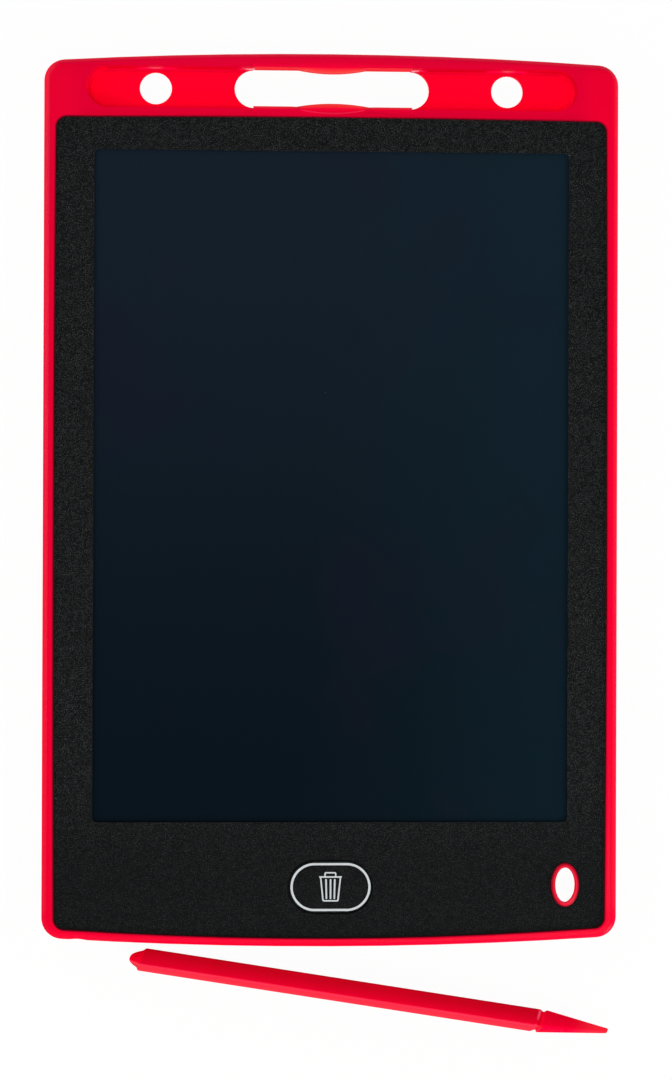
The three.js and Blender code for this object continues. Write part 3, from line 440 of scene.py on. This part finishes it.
def stadium_distance(tree, x, y, half_length, middle):
    """How far a point is from a line along X, half_length to each side, at the Y called middle."""
    beyond = largest(tree, minus(tree, unsigned(tree, x), half_length), 0.0)
    return diagonal(tree, beyond, minus(tree, y, middle))


def tray_distance(tree, x, y):
    """How far a point is from the outline of the tray, negative inside it."""
    return minus(tree, stadium_distance(tree, x, y, TRAY_HALF - TRAY_RADIUS, TRAY_Y), TRAY_RADIUS)


def key_distance(tree, x, y):
    """How far a point is from the line through the middle of the key pad."""
    pad = pad_high - pad_low
    return stadium_distance(tree, x, y, (pad.x - pad.y) / 2, KEY.y)


def eyelet_distance(tree, x, y):
    """1 on the middle line of the eyelet's ring, less inside it and more outside."""
    across = ratio(tree, minus(tree, x, EYELET[0]), EYELET_RING[0])
    along = ratio(tree, minus(tree, y, EYELET[1]), EYELET_RING[1])
    return diagonal(tree, across, along)


def film_distance(tree, x, y):
    """How far a point is outside the bowed outline of the front film."""
    squared = product(tree, x, x)
    off_middle = ratio(tree, minus(tree, y, FILM_MIDDLE), FILM_REACH)
    swell = product(tree, off_middle, off_middle, FILM_SWELL)
    side = sum_of(tree, unsigned(tree, x), swell, FILM_CORNER - FILM_HALF)
    upper = sum_of(tree, y, ratio(tree, squared, FILM_TOP_BOW), FILM_CORNER - FILM_TOP)
    lower = minus(tree, ratio(tree, squared, FILM_FOOT_BOW), sum_of(tree, y, -FILM_FOOT - FILM_CORNER))
    reach = diagonal(tree, largest(tree, side, 0.0), largest(tree, upper, lower, 0.0))
    return minus(tree, reach, FILM_CORNER)


def bulge_edge(tree, x):
    """How far a snap bulge stands out from the slot's wall."""
    off_middle = ratio(tree, x, BULGE_HALF)
    share = rest_of(tree, product(tree, off_middle, off_middle))
    return largest(tree, product(tree, share, BULGE_HEIGHT), 0.0)


# Parts of the tray


def behind_tray(tree, y):
    """1 behind the middle line of the tray, 0 in front of it."""
    return band(tree, y, MIDDLE_LINE)


def beyond_neck(tree, x):
    """0 along the straight part of the slot, 1 beyond it."""
    return band(tree, unsigned(tree, minus(tree, x, SLOT_MIDDLE)), NECK_END)


def tray_wall(tree, x, away):
    """The upright walls of the tray, without the slot's straight edges."""
    upright = product(tree, band(tree, away, WALL_FOOT), band(tree, away, WALL_TOP, 1.0, 0.0))
    return product(tree, upright, beyond_neck(tree, x))


def slot_light(tree, x, y):
    """Painted light at the thin edges along the slot: how orange it tints them, and how much light comes
    through them.
    """
    back = behind_tray(tree, y)
    front = rest_of(tree, back)
    stand = bulge_edge(tree, x)
    reach = sum_of(tree, product(tree, stand, 0.8), 0.7 * MM)
    short_reach = sum_of(tree, product(tree, stand, 1.2), 0.3 * MM)
    rise = minus(tree, sum_of(tree, y, stand), SLOT_HIGH)
    drop = minus(tree, sum_of(tree, stand, SLOT_LOW), y)
    above = ratio(tree, rise, reach)
    below = ratio(tree, drop, reach)
    close = ratio(tree, rise, short_reach)
    neck = band(tree, unsigned(tree, x), ORANGE_END, 1.0, 0.0)

    def edge(side, fade, plain, bulge):
        return product(tree, side, fade, band(tree, stand, BULGE_START, plain, bulge))

    orange = sum_of(
        tree,
        edge(back, ramp(tree, close, 0.0, 0.85, 1.0, 0.0), 0.22, 0.38),
        edge(front, ramp(tree, below, 0.0, 1.0, 1.0, 0.0), 0.38, 0.58))
    light = sum_of(
        tree,
        edge(back, ramp(tree, above, 0.6, 1.9, 1.0, 0.0), 0.1, 0.14),
        edge(front, ramp(tree, below, 0.6, 2.4, 1.0, 0.0), 0.06, 0.34))
    return product(tree, neck, orange), product(tree, neck, light)


def wall_polish_and_glint(tree, x, z, away):
    """The glossy foot of the tray's wall beside the holes and the slot's ends, which mirrors the floor; the
    same share carries a painted pink glint and glow.
    """
    span = unsigned(tree, x)
    from_glint = unsigned(tree, minus(tree, span, GLINT_X))
    near_slot = band(tree, span, SLOT_POLISH_AND_GLINT, 1.0, 0.0)
    near_hole = band(tree, from_glint, HOLE_POLISH_AND_GLINT, 0.85, 0.0)
    low = band(tree, z, LOW_POLISH_AND_GLINT, WALL_COAT, 0.05)
    return product(tree, tray_wall(tree, x, away), largest(tree, near_slot, near_hole), low)


# Finishes


def shell_paint(tree, finish, place, away, orange):
    """The front shell's reds with painted light and shade: deeper at the walls, the upper left corner and the
    film's edge, lighter on the rims, orange at the slot, dark under the key, and painted highlights on the
    arc and the eyelet, whose edge is shaded.
    """
    x, y, _ = split(tree, place)
    span = unsigned(tree, x)
    glow_red = tuple(finish.glow_red)
    # Painted light: the rims take the lighter rim red
    outer = largest(tree, band(tree, span, RIM_SIDE), band(tree, y, RIM_FOOT))
    # Painted shade: the upper left corner of the case is darker
    corner = product(
        tree, band(tree, x, CORNER_SIDE), band(tree, y, CORNER_RISE, 0.0, 0.5),
        band(tree, y, CORNER_FADE, 1.0, 0.3))
    lip = product(
        tree, band(tree, y, LIP_BACK), band(tree, y, LIP_FRONT), band(tree, span, LIP_END, 0.8, 0.0),
        band(tree, span, LIP_MIDDLE))
    # Painted shade on the tray's walls, lighter at the left end
    facing = product(tree, band(tree, x, LEFT_END), band(tree, y, LEFT_CORNER, 1.0, 0.2))
    wall_shade = mix(tree, facing, tuple(finish.wall_shade_red), END_WALL_LIT_RED)
    cloud = ramp(tree, noise(tree, place, 28, 2.0), 0.42, 0.72, 0.0, 0.14)
    # Painted highlight: a pale line along the arc under the slot
    from_arc = unsigned(tree, minus(tree, y, sum_of(tree, product(tree, x, x, ARC_BOW), ARC_Y)))
    arc = product(tree, band(tree, from_arc, ARC_LINE, 0.4, 0.0), band(tree, span, ARC_END, 1.0, 0.0))
    # Painted shade: darker red on the case along the film's edge
    film_edge_shade = product(
        tree, band(tree, film_distance(tree, x, y), FILM_SHADOW, 1.0, 0.0),
        band(tree, x, FILM_SHADOW_SIDE, 0.55, 0.85))
    ring = eyelet_distance(tree, x, y)
    # Painted highlight: a pale line along the eyelet's bead
    bead_highlight = product(tree, ramp(tree, ring, *BEAD_START), ramp(tree, ring, *BEAD_END, 0.4, 0.0))
    # Painted shade: the outer part of the eyelet's ring is dark
    eyelet_edge_shade = product(tree, ramp(tree, ring, *EYELET_SHADE_START), ramp(tree, ring, *EYELET_SHADE_STOP, 0.95, 0.0))
    return layered(
        tree, mix(tree, outer, tuple(finish.shell_red), tuple(finish.rim_lit_red)),
        (band(tree, y, UPPER_BAND), UPPER_RED),
        (corner, CORNER_SHADE_RED),
        (lip, LIP_RED),
        # Painted shade over the tray's walls
        (tray_wall(tree, x, away), wall_shade),
        (cloud, glow_red),
        # Painted light: the thin edges at the slot are tinted orange
        (orange, tuple(finish.slot_glow_orange)),
        (arc, ARC_HIGHLIGHT),
        (film_edge_shade, FILM_EDGE_SHADE),
        # Painted shade: dark grey in the well around the key
        (band(tree, key_distance(tree, x, y), KEY_WELL, 1.0, 0.0), KEY_WELL_SHADE),
        (ramp(tree, ring, *RING_EDGE, 1.0, 0.0), EYELET_RED),
        (bead_highlight, EYELET_HIGHLIGHT),
        (eyelet_edge_shade, EYELET_SHADE),
    )


def shell_coat(tree, x, y, away):
    """The clear skin of the front shell, thinner at the tray, at the foot and on the slot's straight edge."""
    skin = product(
        tree, band(tree, away, TRAY_COAT, 0.08, COAT), band(tree, y, FOOT_COAT, 1.0, 0.45),
        band(tree, x, SIDE_COAT, 1.0, 0.75))
    straight = product(
        tree, behind_tray(tree, y), band(tree, bulge_edge(tree, x), BULGE_START, 1.0, 0.0),
        band(tree, away, EDGE_COAT, 0.8, 0.0), rest_of(tree, beyond_neck(tree, x)))
    dull = largest(tree, straight, product(tree, tray_wall(tree, x, away), 0.8))
    return product(tree, skin, rest_of(tree, dull))


def tray_light(tree, x, y, z, away):
    """Light through the thin tray: dim along its back, bright along its front and at its ends."""
    span = unsigned(tree, x)
    shaded = product(tree, behind_tray(tree, y), band(tree, span, SHADE_END, 1.0, 0.0))
    dim = product(
        tree, shaded, band(tree, away, SHADE_FLOOR, 0.3, 0.03), band(tree, away, SHADE_FOOT, 1.0, 0.0))
    left = band(tree, x, LEFT_END)
    bright_left = product(
        tree, left, band(tree, away, LEFT_FLOOR, 0.3, 0.18), band(tree, z, END_WALL, 1.0, 0.2))
    bright_right = product(
        tree, rest_of(tree, left), band(tree, away, RIGHT_FLOOR, 0.42, 0.15),
        band(tree, z, END_WALL, 1.0, 0.6))
    bright = product(
        tree, sum_of(tree, bright_left, bright_right), rest_of(tree, shaded),
        band(tree, away, WALL_TOP, 1.0, 0.0))
    return largest(tree, dim, bright)


def red_shell(finish):
    """Moulded red plastic of the front shell, with painted light and shade in its colour and a painted glow
    from its emission.
    """
    material, tree, shader = red_material("red_shell", 0.2, finish.glow_red)
    place = object_place(tree)
    x, y, z = split(tree, place)
    away = tray_distance(tree, x, y)
    orange, light = slot_light(tree, x, y)
    # The tray wall's coat is raised here, and a pink glint and a glow are painted under its reflection
    polish_and_glint = wall_polish_and_glint(tree, x, z, away)
    base = mix(tree, polish_and_glint, shell_paint(tree, finish, place, away, orange), GLINT_PINK)
    coat = largest(tree, shell_coat(tree, x, y, away), polish_and_glint)
    # Painted glow: emission for light through the thin tray and slot edges, and under the glints
    glow = largest(tree, light, tray_light(tree, x, y, z, away), product(tree, polish_and_glint, 0.4))
    fine = noise(tree, place, 900, 3.0, 0.55)
    feed(tree, shader, Base_Color=base, Coat_Weight=coat, Normal=bump(tree, fine, 0.02 * MM, 0.25),
         Emission_Strength=glow)
    return material


def thin_shell(finish):
    """The back shell: in the tray its skin is painted a bright red and glows, for the light coming through
    it, deeper towards the foot of the tray's walls.
    """
    material, tree, shader = red_material("thin_shell", 0.24, finish.glow_red)
    place = object_place(tree)
    x, y, z = split(tree, place)
    inside = band(tree, tray_distance(tree, x, y), SKIN_INSIDE, 1.0, 0.0)
    cloud = ramp(tree, noise(tree, place, 28, 2.0), 0.42, 0.72, 0.0, 0.2)
    glow_red = tuple(finish.glow_red)
    # Painted light: the skin inside the tray is a brighter red and glows
    base = layered(tree, tuple(finish.shell_red), (inside, glow_red), (cloud, glow_red))
    glow = product(tree, inside, band(tree, z, SKIN_FRONT), 0.4)
    fine = noise(tree, place, 1400, 3.0, 0.6)
    feed(tree, shader, Base_Color=base, Normal=bump(tree, fine, 0.02 * MM, 0.35), Emission_Strength=glow)
    return material


def grained_film(finish):
    """Black film with a fine light grain that stands up a little."""
    material, tree, shader = new_material("grained_film", Specular_IOR_Level=0.08)
    place = object_place(tree)
    x, y, _ = split(tree, place)
    pitch = 1 / finish.grain_size
    grain = noise(tree, place, pitch, 1.0, 0.5)
    coarse = noise(tree, place, pitch / 4, 2.0, 0.5)
    both = sum_of(tree, product(tree, grain, 0.8), product(tree, coarse, 0.2))
    share = product(tree, ramp(tree, both, 0.48, 0.7), band(tree, y, GRAIN_FADE, 1.0, 0.52))
    cut = band(tree, film_distance(tree, x, y), FILM_CUT, 0.0, 0.3)
    base = layered(tree, tuple(finish.film_black), (share, tuple(finish.film_grain)), (cut, FILM_CUT_RED))
    rough = ramp(tree, grain, 0.3, 0.7, 0.62, 0.5)
    feed(tree, shader, Base_Color=base, Roughness=rough, Normal=bump(tree, both, 0.03 * MM, 0.6))
    return material


def display_surface(finish):
    """Dark display laminate, bluer near the tray and on the right, with clouds and a few dust specks."""
    material, tree, shader = new_material("display_surface", Specular_IOR_Level=0.1)
    place = object_place(tree)
    x, y, _ = split(tree, place)
    down = ramp(tree, y, display_high.y, display_low.y)
    right = ramp(tree, x, -10 * MM, display_high.x, 0.0, 0.45)
    cloud = ramp(tree, noise(tree, place, 17, 3.0, 0.6), 0.5, 0.75, 0.0, 0.5)
    dust = add_node(tree, "ShaderNodeTexVoronoi", {"Vector": place, "Scale": 85}).outputs
    lone = math_node(tree, "GREATER_THAN", split(tree, dust["Color"])[0], 0.72)
    speck = product(tree, ramp(tree, dust["Distance"], 0.006, 0.016, 0.5, 0.0), lone)
    base = layered(
        tree, mix(tree, down, tuple(finish.display_top), tuple(finish.display_foot)),
        (right, DISPLAY_RIGHT), (cloud, DISPLAY_CLOUD), (speck, DUST_BLUE))
    rough = ramp(tree, noise(tree, place, 45, 2.0), 0.35, 0.7, 0.215, 0.235)
    feed(tree, shader, Base_Color=base, Roughness=rough)
    return material


def key_ink(finish):
    """Screen-printed light grey ink."""
    material, tree, shader = new_material("key_ink", Specular_IOR_Level=0.3)
    spread = noise(tree, object_place(tree), 2600, 2.0)
    base = mix(tree, ramp(tree, spread, 0.35, 0.65, 0.0, 0.35), tuple(finish.print_grey), PRINT_SPREAD)
    feed(tree, shader, Base_Color=base, Roughness=ramp(tree, spread, 0.3, 0.7, 0.45, 0.6))
    return material


def stylus_place(tree, place):
    """Places along the stylus from its nub and across it."""
    inputs = {"Vector": place, "Location": (-NUB[0], -NUB[1], 0)}
    moved = add_node(tree, "ShaderNodeMapping", inputs).outputs[0]
    inputs = {"Vector": moved, "Rotation": (0, 0, STYLUS_TURN)}
    along, across, _ = split(tree, add_node(tree, "ShaderNodeMapping", inputs).outputs[0])
    return along, across


def stylus_plastic(finish):
    """Red plastic with painted shade on its upper flank and top edge, painted highlights at its crease and
    barrel end, painted light at its neck, and a painted sheen and glow at its point; its back is paler and
    glossier.
    """
    material, tree, shader = red_material("stylus_plastic", 0.2, finish.stylus_red)
    place = object_place(tree)
    along, across = stylus_place(tree, place)
    red = tuple(finish.stylus_red)
    barrel = band(tree, along, BARREL_END, 1.0, 0.0)
    # Painted shade: the upper flank deepens towards its top
    shade = product(tree, band(tree, across, FLANK), ramp(tree, barrel, 0.0, 1.0, 0.65, 1.0))
    strip = product(tree, band(tree, across, STRIP, 1.0, 0.0), barrel)
    crease = unsigned(tree, minus(tree, across, CREASE))
    # Painted highlight: a pink line along the crease
    fold_highlight = product(tree, band(tree, crease, FOLD, 0.35, 0.0), barrel)
    # Painted light: the groove at the neck is lifted back to the plain red against its shade
    neck = product(tree, band(tree, along, NECK_START), band(tree, along, NECK_STOP, 1.0, 0.0), 0.8)
    slant = minus(tree, along, product(tree, across, 0.2))
    gleam = product(
        tree, band(tree, slant, GLEAM_START), band(tree, slant, GLEAM_STOP, 1.0, 0.0),
        band(tree, across, GLEAM_LOW), band(tree, across, GLEAM_HIGH, 1.0, 0.0), 0.8)
    # Painted sheen and glow towards the point
    point = band(tree, along, POINT)
    cloud = ramp(tree, noise(tree, place, 60, 2.0), 0.45, 0.7, 0.0, 0.12)
    base = layered(
        tree, mix(tree, shade, red, tuple(finish.stylus_shade)),
        # Painted shade on the top edge of the flank
        (band(tree, across, FLANK_EDGE, 0.0, 0.5), FLANK_SHADE_RED),
        (strip, STRIP_RED),
        (fold_highlight, CREASE_PINK_HIGHLIGHT),
        (neck, red),
        (gleam, GLEAM_PINK),
        (product(tree, point, 0.5), POINT_SHEEN),
        (cloud, STYLUS_CLOUD),
    )
    coat = product(
        tree, band(tree, across, BACK_COAT, COAT / 2, 0.03), ramp(tree, barrel, 0.0, 1.0, 0.12, 1.0))
    glow = sum_of(tree, ramp(tree, barrel, 0.0, 1.0, 0.06, 0.02), product(tree, point, 0.1))
    fine = noise(tree, place, 1100, 3.0)
    feed(tree, shader, Base_Color=base, Coat_Weight=coat, Normal=bump(tree, fine, 0.02 * MM, 0.25),
         Emission_Strength=glow)
    return material


def plain_material(name, first, second, scale, roughness, metal=0.0, relief=0.0):
    """A finish of two close colours in a fine pattern, for the pieces inside."""
    material, tree, shader = new_material(name, Metallic=metal)
    grain = noise(tree, object_place(tree), scale, 3.0, 0.6)
    base = mix(tree, ramp(tree, grain, 0.3, 0.7), first, second)
    rough = ramp(tree, grain, 0.3, 0.7, roughness - 0.06, roughness + 0.08)
    feed(tree, shader, Base_Color=base, Roughness=rough)
    if relief:
        feed(tree, shader, Normal=bump(tree, grain, relief, 0.5))
    return material


# Making pieces


def finish_piece(name, mesh, body, material):
    """Turns a bmesh into an object at the origin that rides on a body."""
    bmesh.ops.recalc_face_normals(mesh, faces=mesh.faces)
    data = bpy.data.meshes.new(name)
    mesh.to_mesh(data)
    mesh.free()
    data.materials.append(material)
    piece = bpy.data.objects.new(name, data)
    bpy.context.scene.collection.objects.link(piece)
    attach(piece, body)


def stadium_loop(mesh, middle, span, width, sides):
    """Adds a stadium's outline: a circle whose halves are moved apart."""
    loop = bmesh.ops.create_circle(mesh, radius=width / 2, segments=sides)["verts"]
    reach = (span - width) / 2
    half_step = math.pi / sides
    bmesh.ops.rotate(mesh, verts=loop, matrix=Matrix.Rotation(half_step, 3, "Z"))
    for side in (-1, 1):
        half = [v for v in loop if v.co.x * side > 0]
        bmesh.ops.translate(mesh, verts=half, vec=Vector((side * reach, 0, 0)))
    bmesh.ops.translate(mesh, verts=loop, vec=middle)


def raise_faces(mesh, faces, height):
    """Gives flat faces a thickness upwards."""
    grown = bmesh.ops.extrude_face_region(mesh, geom=faces, use_keep_orig=True)["geom"]
    tops = [v for v in grown if isinstance(v, bmesh.types.BMVert)]
    bmesh.ops.translate(mesh, verts=tops, vec=Vector((0, 0, height)))


def ring_faces(mesh, middle, span, width, stroke, sides):
    """The flat faces between two stadiums, in a mesh that holds nothing else."""
    stadium_loop(mesh, middle, span, width, sides)
    stadium_loop(mesh, middle, span - 2 * stroke, width - 2 * stroke, sides)
    return bmesh.ops.bridge_loops(mesh, edges=mesh.edges[:])["faces"]


def corner_face(mesh, corners, rounded):
    """A flat face through a few corners; rounded pairs some of them with a radius."""
    verts = [mesh.verts.new(corner) for corner in corners]
    mesh.faces.new(verts)
    for numbers, radius in rounded:
        bmesh.ops.bevel(
            mesh, geom=[verts[number] for number in numbers], offset=radius, offset_type="OFFSET",
            segments=CORNER_STEPS, profile=0.5, affect="VERTICES", material=-1)


def bin_faces(mesh, sizes):
    """A plain bin: a lid with a handle, and a tapered body with three ribs."""
    base = Vector((KEY.x, KEY.y, pad_high.z))

    def at(x, y):
        return base + Vector((x * MM, y * MM, 0))

    stroke = sizes.bin_stroke / MM
    half_rib = sizes.rib_stroke / MM / 2

    def bent_stroke(end_y, turn_y, ends, turns, outer_radius, inner_radius):
        """A line that starts and ends at one Y and turns twice at another; ends and turns are pairs of X."""
        inner_y = turn_y + math.copysign(stroke, end_y - turn_y)
        corners = [
            at(ends[0], end_y), at(turns[0], turn_y), at(turns[1], turn_y), at(ends[1], end_y),
            at(ends[1] - stroke, end_y), at(turns[1] - stroke, inner_y),
            at(turns[0] + stroke, inner_y), at(ends[0] + stroke, end_y),
        ]
        corner_face(mesh, corners, [((1, 2), outer_radius), ((5, 6), inner_radius)])

    lid_foot, lid_top, handle_top, bin_foot = 2.34, 2.72, 3.78, -3.64
    rib_top, rib_foot = 2.02, -3.02
    lid = [at(-2.72, lid_foot), at(2.86, lid_foot), at(3.0, lid_top), at(-2.86, lid_top)]
    corner_face(mesh, lid, [((0, 1, 2, 3), 0.08 * MM)])
    bent_stroke(lid_top, handle_top, (-1.5, 1.56), (-1.5, 1.56), 0.45 * MM, 0.12 * MM)
    bent_stroke(lid_foot, bin_foot, (-2.6, 2.74), (-1.98, 2.12), 0.5 * MM, 0.15 * MM)
    for x, lean in ((-1.07, 0.12), (0.08, 0.0), (1.15, -0.12)):
        rib = [
            at(x - half_rib, rib_top), at(x - half_rib + lean, rib_foot),
            at(x + half_rib + lean, rib_foot), at(x + half_rib, rib_top),
        ]
        corner_face(mesh, rib, [((0, 1, 2, 3), 0.16 * MM)])


class StepOperator(bpy.types.Operator):
    """What the steps share."""

    bl_options = {"REGISTER", "UNDO"}

    def finish(self, context):
        return context.scene.tablet_finish


class TABLET_OT_dress_case(StepOperator):
    """Gives the two shells, the battery door and the lock slider their red plastic"""

    bl_idname = "tablet.dress_case"
    bl_label = "Dress the case"

    def execute(self, context):
        finish = self.finish(context)
        give(["front_case"], red_shell(finish))
        give(["back_cover", "battery_door", "lock_slider"], thin_shell(finish))
        soften(["front_case"])
        soften(["back_cover", "battery_door", "lock_slider"], level=True)
        return {"FINISHED"}


class TABLET_OT_dress_front(StepOperator):
    """Gives the film, the key pad and the display their surfaces"""

    bl_idname = "tablet.dress_front"
    bl_label = "Dress the front"

    def execute(self, context):
        finish = self.finish(context)
        give(["front_overlay", "erase_pad"], grained_film(finish))
        give(["lcd_panel"], display_surface(finish))
        soften(["front_overlay", "erase_pad", "lcd_panel"])
        return {"FINISHED"}


class TABLET_OT_print_key(StepOperator):
    """Prints the ring and the bin on the key pad"""

    bl_idname = "tablet.print_key"
    bl_label = "Print the key"

    def execute(self, context):
        sizes = context.scene.tablet_print
        ink = key_ink(self.finish(context))
        top = Vector((KEY.x + PRINT_SHIFT, KEY.y, pad_high.z))
        ring = bmesh.new()
        faces = ring_faces(ring, top, sizes.ring_length, sizes.ring_width, sizes.ring_stroke, RING_SIDES)
        raise_faces(ring, faces, sizes.ink)
        finish_piece("key_ring_print", ring, "erase_key", ink)
        sign = bmesh.new()
        bin_faces(sign, sizes)
        raise_faces(sign, list(sign.faces), sizes.ink)
        finish_piece("key_bin_print", sign, "erase_key", ink)
        return {"FINISHED"}


class TABLET_OT_dress_stylus(StepOperator):
    """Gives the stylus its plastic"""

    bl_idname = "tablet.dress_stylus"
    bl_label = "Dress the stylus"

    def execute(self, context):
        give(["stylus"], stylus_plastic(self.finish(context)))
        soften(["stylus"])
        return {"FINISHED"}


class TABLET_OT_dress_inside(StepOperator):
    """Gives the board, the battery, the switches and the tapes their finishes"""

    bl_idname = "tablet.dress_inside"
    bl_label = "Dress the inside"

    def execute(self, context):
        tape = plain_material("tape", tone(210, 210, 204), tone(190, 190, 184), 900, 0.6)
        dark_tape = plain_material("dark_tape", tone(36, 37, 38), tone(46, 47, 48), 900, 0.6)
        board = plain_material("board_mask", tone(20, 92, 52), tone(30, 110, 64), 700, 0.4)
        resin = plain_material("black_resin", tone(24, 24, 26), tone(38, 38, 41), 3000, 0.5)
        ceramic = plain_material("tan_ceramic", tone(160, 128, 88), tone(142, 112, 74), 2400, 0.55)
        steel = plain_material(
            "plated_steel", tone(196, 198, 202), tone(222, 224, 226), 1200, 0.28, metal=1.0)
        tail = plain_material("amber_film", tone(184, 112, 36), tone(160, 92, 26), 500, 0.35)
        foam = plain_material(
            "grey_foam", tone(88, 90, 94), tone(64, 66, 70), 2600, 0.9, relief=0.1 * MM)
        white = plain_material("white_plastic", tone(232, 232, 226), tone(220, 220, 214), 600, 0.45)
        give(["lcd_adhesive"], tape)
        give(["overlay_adhesive"], dark_tape)
        give(["circuit_board"], board)
        give(["driver_chip", "boost_inductor", "diode_1", "diode_2"], resin)
        give(["tact_stem", "slide_switch_lever"], resin)
        give([f"resistor_{number}" for number in range(1, 5)], resin)
        give([f"capacitor_{number}" for number in range(1, 4)], ceramic)
        give(["tact_switch_base", "slide_switch_body", "board_screw_1", "board_screw_2"], steel)
        give(["coin_cell", "battery_minus_contact", "battery_plus_contact", "battery_door_screw"], steel)
        give(["lcd_tail"], tail)
        give(["door_foam_pad"], foam)
        give(["erase_plunger"], white)
        return {"FINISHED"}


def area_lamp(name, place, size, power):
    data = bpy.data.lights.new(name, "AREA")
    data.shape = "SQUARE"
    data.size = size
    data.energy = power
    lamp = bpy.data.objects.new(name, data)
    lamp.location = place
    lamp.rotation_euler = (Vector(AIM) - Vector(place)).to_track_quat("-Z", "Y").to_euler()
    bpy.context.scene.collection.objects.link(lamp)


def seen_ray(tree):
    """1 for rays that show the background: straight from the camera, mirrored or through glass."""
    path = add_node(tree, "ShaderNodeLightPath").outputs
    return largest(tree, path["Is Camera Ray"], path["Is Glossy Ray"], path["Is Transmission Ray"])


def floor_material():
    """A white floor that keeps a faint shadow, seen only from above, so that the back can be looked at."""
    material = bpy.data.materials.new("studio_floor")
    material.use_nodes = True
    tree = material.node_tree
    tree.nodes.clear()
    white = add_node(tree, "ShaderNodeEmission", {"Color": (1, 1, 1), "Strength": 1.0}).outputs[0]
    matt = add_node(tree, "ShaderNodeBsdfDiffuse", {"Color": (0.9, 0.9, 0.9)}).outputs[0]
    glow = add_node(tree, "ShaderNodeEmission", {"Color": (1, 1, 1), "Strength": FLOOR_LIGHT}).outputs[0]
    shown = add_node(tree, "ShaderNodeMixShader", {0: FLOOR_SHADOW, 1: white, 2: matt}).outputs[0]
    top = add_node(tree, "ShaderNodeMixShader", {0: seen_ray(tree), 1: glow, 2: shown}).outputs[0]
    below = add_node(tree, "ShaderNodeBsdfTransparent").outputs[0]
    behind = add_node(tree, "ShaderNodeNewGeometry").outputs["Backfacing"]
    both = add_node(tree, "ShaderNodeMixShader", {0: behind, 1: top, 2: below}).outputs[0]
    add_node(tree, "ShaderNodeOutputMaterial", {"Surface": both})
    return material


def studio_world():
    """A white surround that darkens overhead, where the camera stands, and sooner behind the tray."""
    world = bpy.data.worlds.new("studio_surround")
    world.use_nodes = True
    tree = world.node_tree
    tree.nodes.clear()
    _, back, up = split(tree, add_node(tree, "ShaderNodeTexCoord").outputs["Generated"])
    height = sum_of(tree, up, product(tree, back, SURROUND_LEAN))
    level = ramp(tree, height, *SURROUND_FADE, 1.0, SURROUND_DARK)
    soft = add_node(tree, "ShaderNodeBackground", {"Color": (1, 1, 1), "Strength": level}).outputs[0]
    white = add_node(tree, "ShaderNodeBackground", {"Color": (1, 1, 1), "Strength": 1.0}).outputs[0]
    camera = add_node(tree, "ShaderNodeLightPath").outputs["Is Camera Ray"]
    both = add_node(tree, "ShaderNodeMixShader", {0: camera, 1: soft, 2: white}).outputs[0]
    add_node(tree, "ShaderNodeOutputWorld", {"Surface": both})
    return world


class TABLET_OT_build_studio(StepOperator):
    """Builds the floor, the surround, the lamps and the camera"""

    bl_idname = "tablet.build_studio"
    bl_label = "Build the studio"

    def execute(self, context):
        studio = context.scene.tablet_studio
        plane = bmesh.new()
        bmesh.ops.create_grid(plane, x_segments=1, y_segments=1, size=studio.floor_size / 2)
        bmesh.ops.translate(plane, verts=plane.verts, vec=Vector((0, 0, -FLOOR_DROP)))
        data = bpy.data.meshes.new("studio_floor")
        plane.to_mesh(data)
        plane.free()
        data.materials.append(floor_material())
        floor = bpy.data.objects.new("studio_floor", data)
        context.scene.collection.objects.link(floor)
        context.scene.world = studio_world()
        for lamp, power in zip(LAMPS, (studio.key_power, studio.rim_power, studio.fill_power)):
            area_lamp(*lamp, power)
        data = bpy.data.cameras.new("studio_camera")
        data.sensor_fit = "VERTICAL"
        data.sensor_height = SENSOR_HEIGHT
        data.lens = studio.lens
        camera = bpy.data.objects.new("studio_camera", data)
        camera.location = studio.camera_place
        camera.rotation_euler = Euler(studio.camera_turn)
        context.scene.collection.objects.link(camera)
        context.scene.camera = camera
        context.scene.view_settings.view_transform = "Standard"
        return {"FINISHED"}


class TABLET_PT_steps(bpy.types.Panel):
    """Lists the steps in the sidebar"""

    bl_label = "Writing tablet"
    bl_idname = "TABLET_PT_steps"
    bl_space_type = "VIEW_3D"
    bl_region_type = "UI"
    bl_category = "Tablet"

    def draw(self, context):
        for step in STEPS:
            self.layout.operator(step.bl_idname)
        for group in (context.scene.tablet_finish, context.scene.tablet_print, context.scene.tablet_studio):
            box = self.layout.box()
            for name in group.__annotations__:
                box.prop(group, name)


GROUPS = {
    "tablet_finish": TABLET_PG_finish,
    "tablet_print": TABLET_PG_print,
    "tablet_studio": TABLET_PG_studio,
}
STEPS = (
    TABLET_OT_dress_case,
    TABLET_OT_dress_front,
    TABLET_OT_print_key,
    TABLET_OT_dress_stylus,
    TABLET_OT_dress_inside,
    TABLET_OT_build_studio,
)


def register():
    for group in GROUPS.values():
        bpy.utils.register_class(group)
    for step in (*STEPS, TABLET_PT_steps):
        bpy.utils.register_class(step)
    for name, group in GROUPS.items():
        setattr(bpy.types.Scene, name, PointerProperty(type=group))


def unregister():
    for name in GROUPS:
        delattr(bpy.types.Scene, name)
    for step in (TABLET_PT_steps, *reversed(STEPS)):
        bpy.utils.unregister_class(step)
    for group in GROUPS.values():
        bpy.utils.unregister_class(group)


def main():
    register()
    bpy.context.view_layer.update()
    bpy.ops.tablet.dress_case()
    bpy.ops.tablet.dress_front()
    bpy.ops.tablet.print_key()
    bpy.ops.tablet.dress_stylus()
    bpy.ops.tablet.dress_inside()
    bpy.ops.tablet.build_studio()


if __name__ == "__main__":
    main()
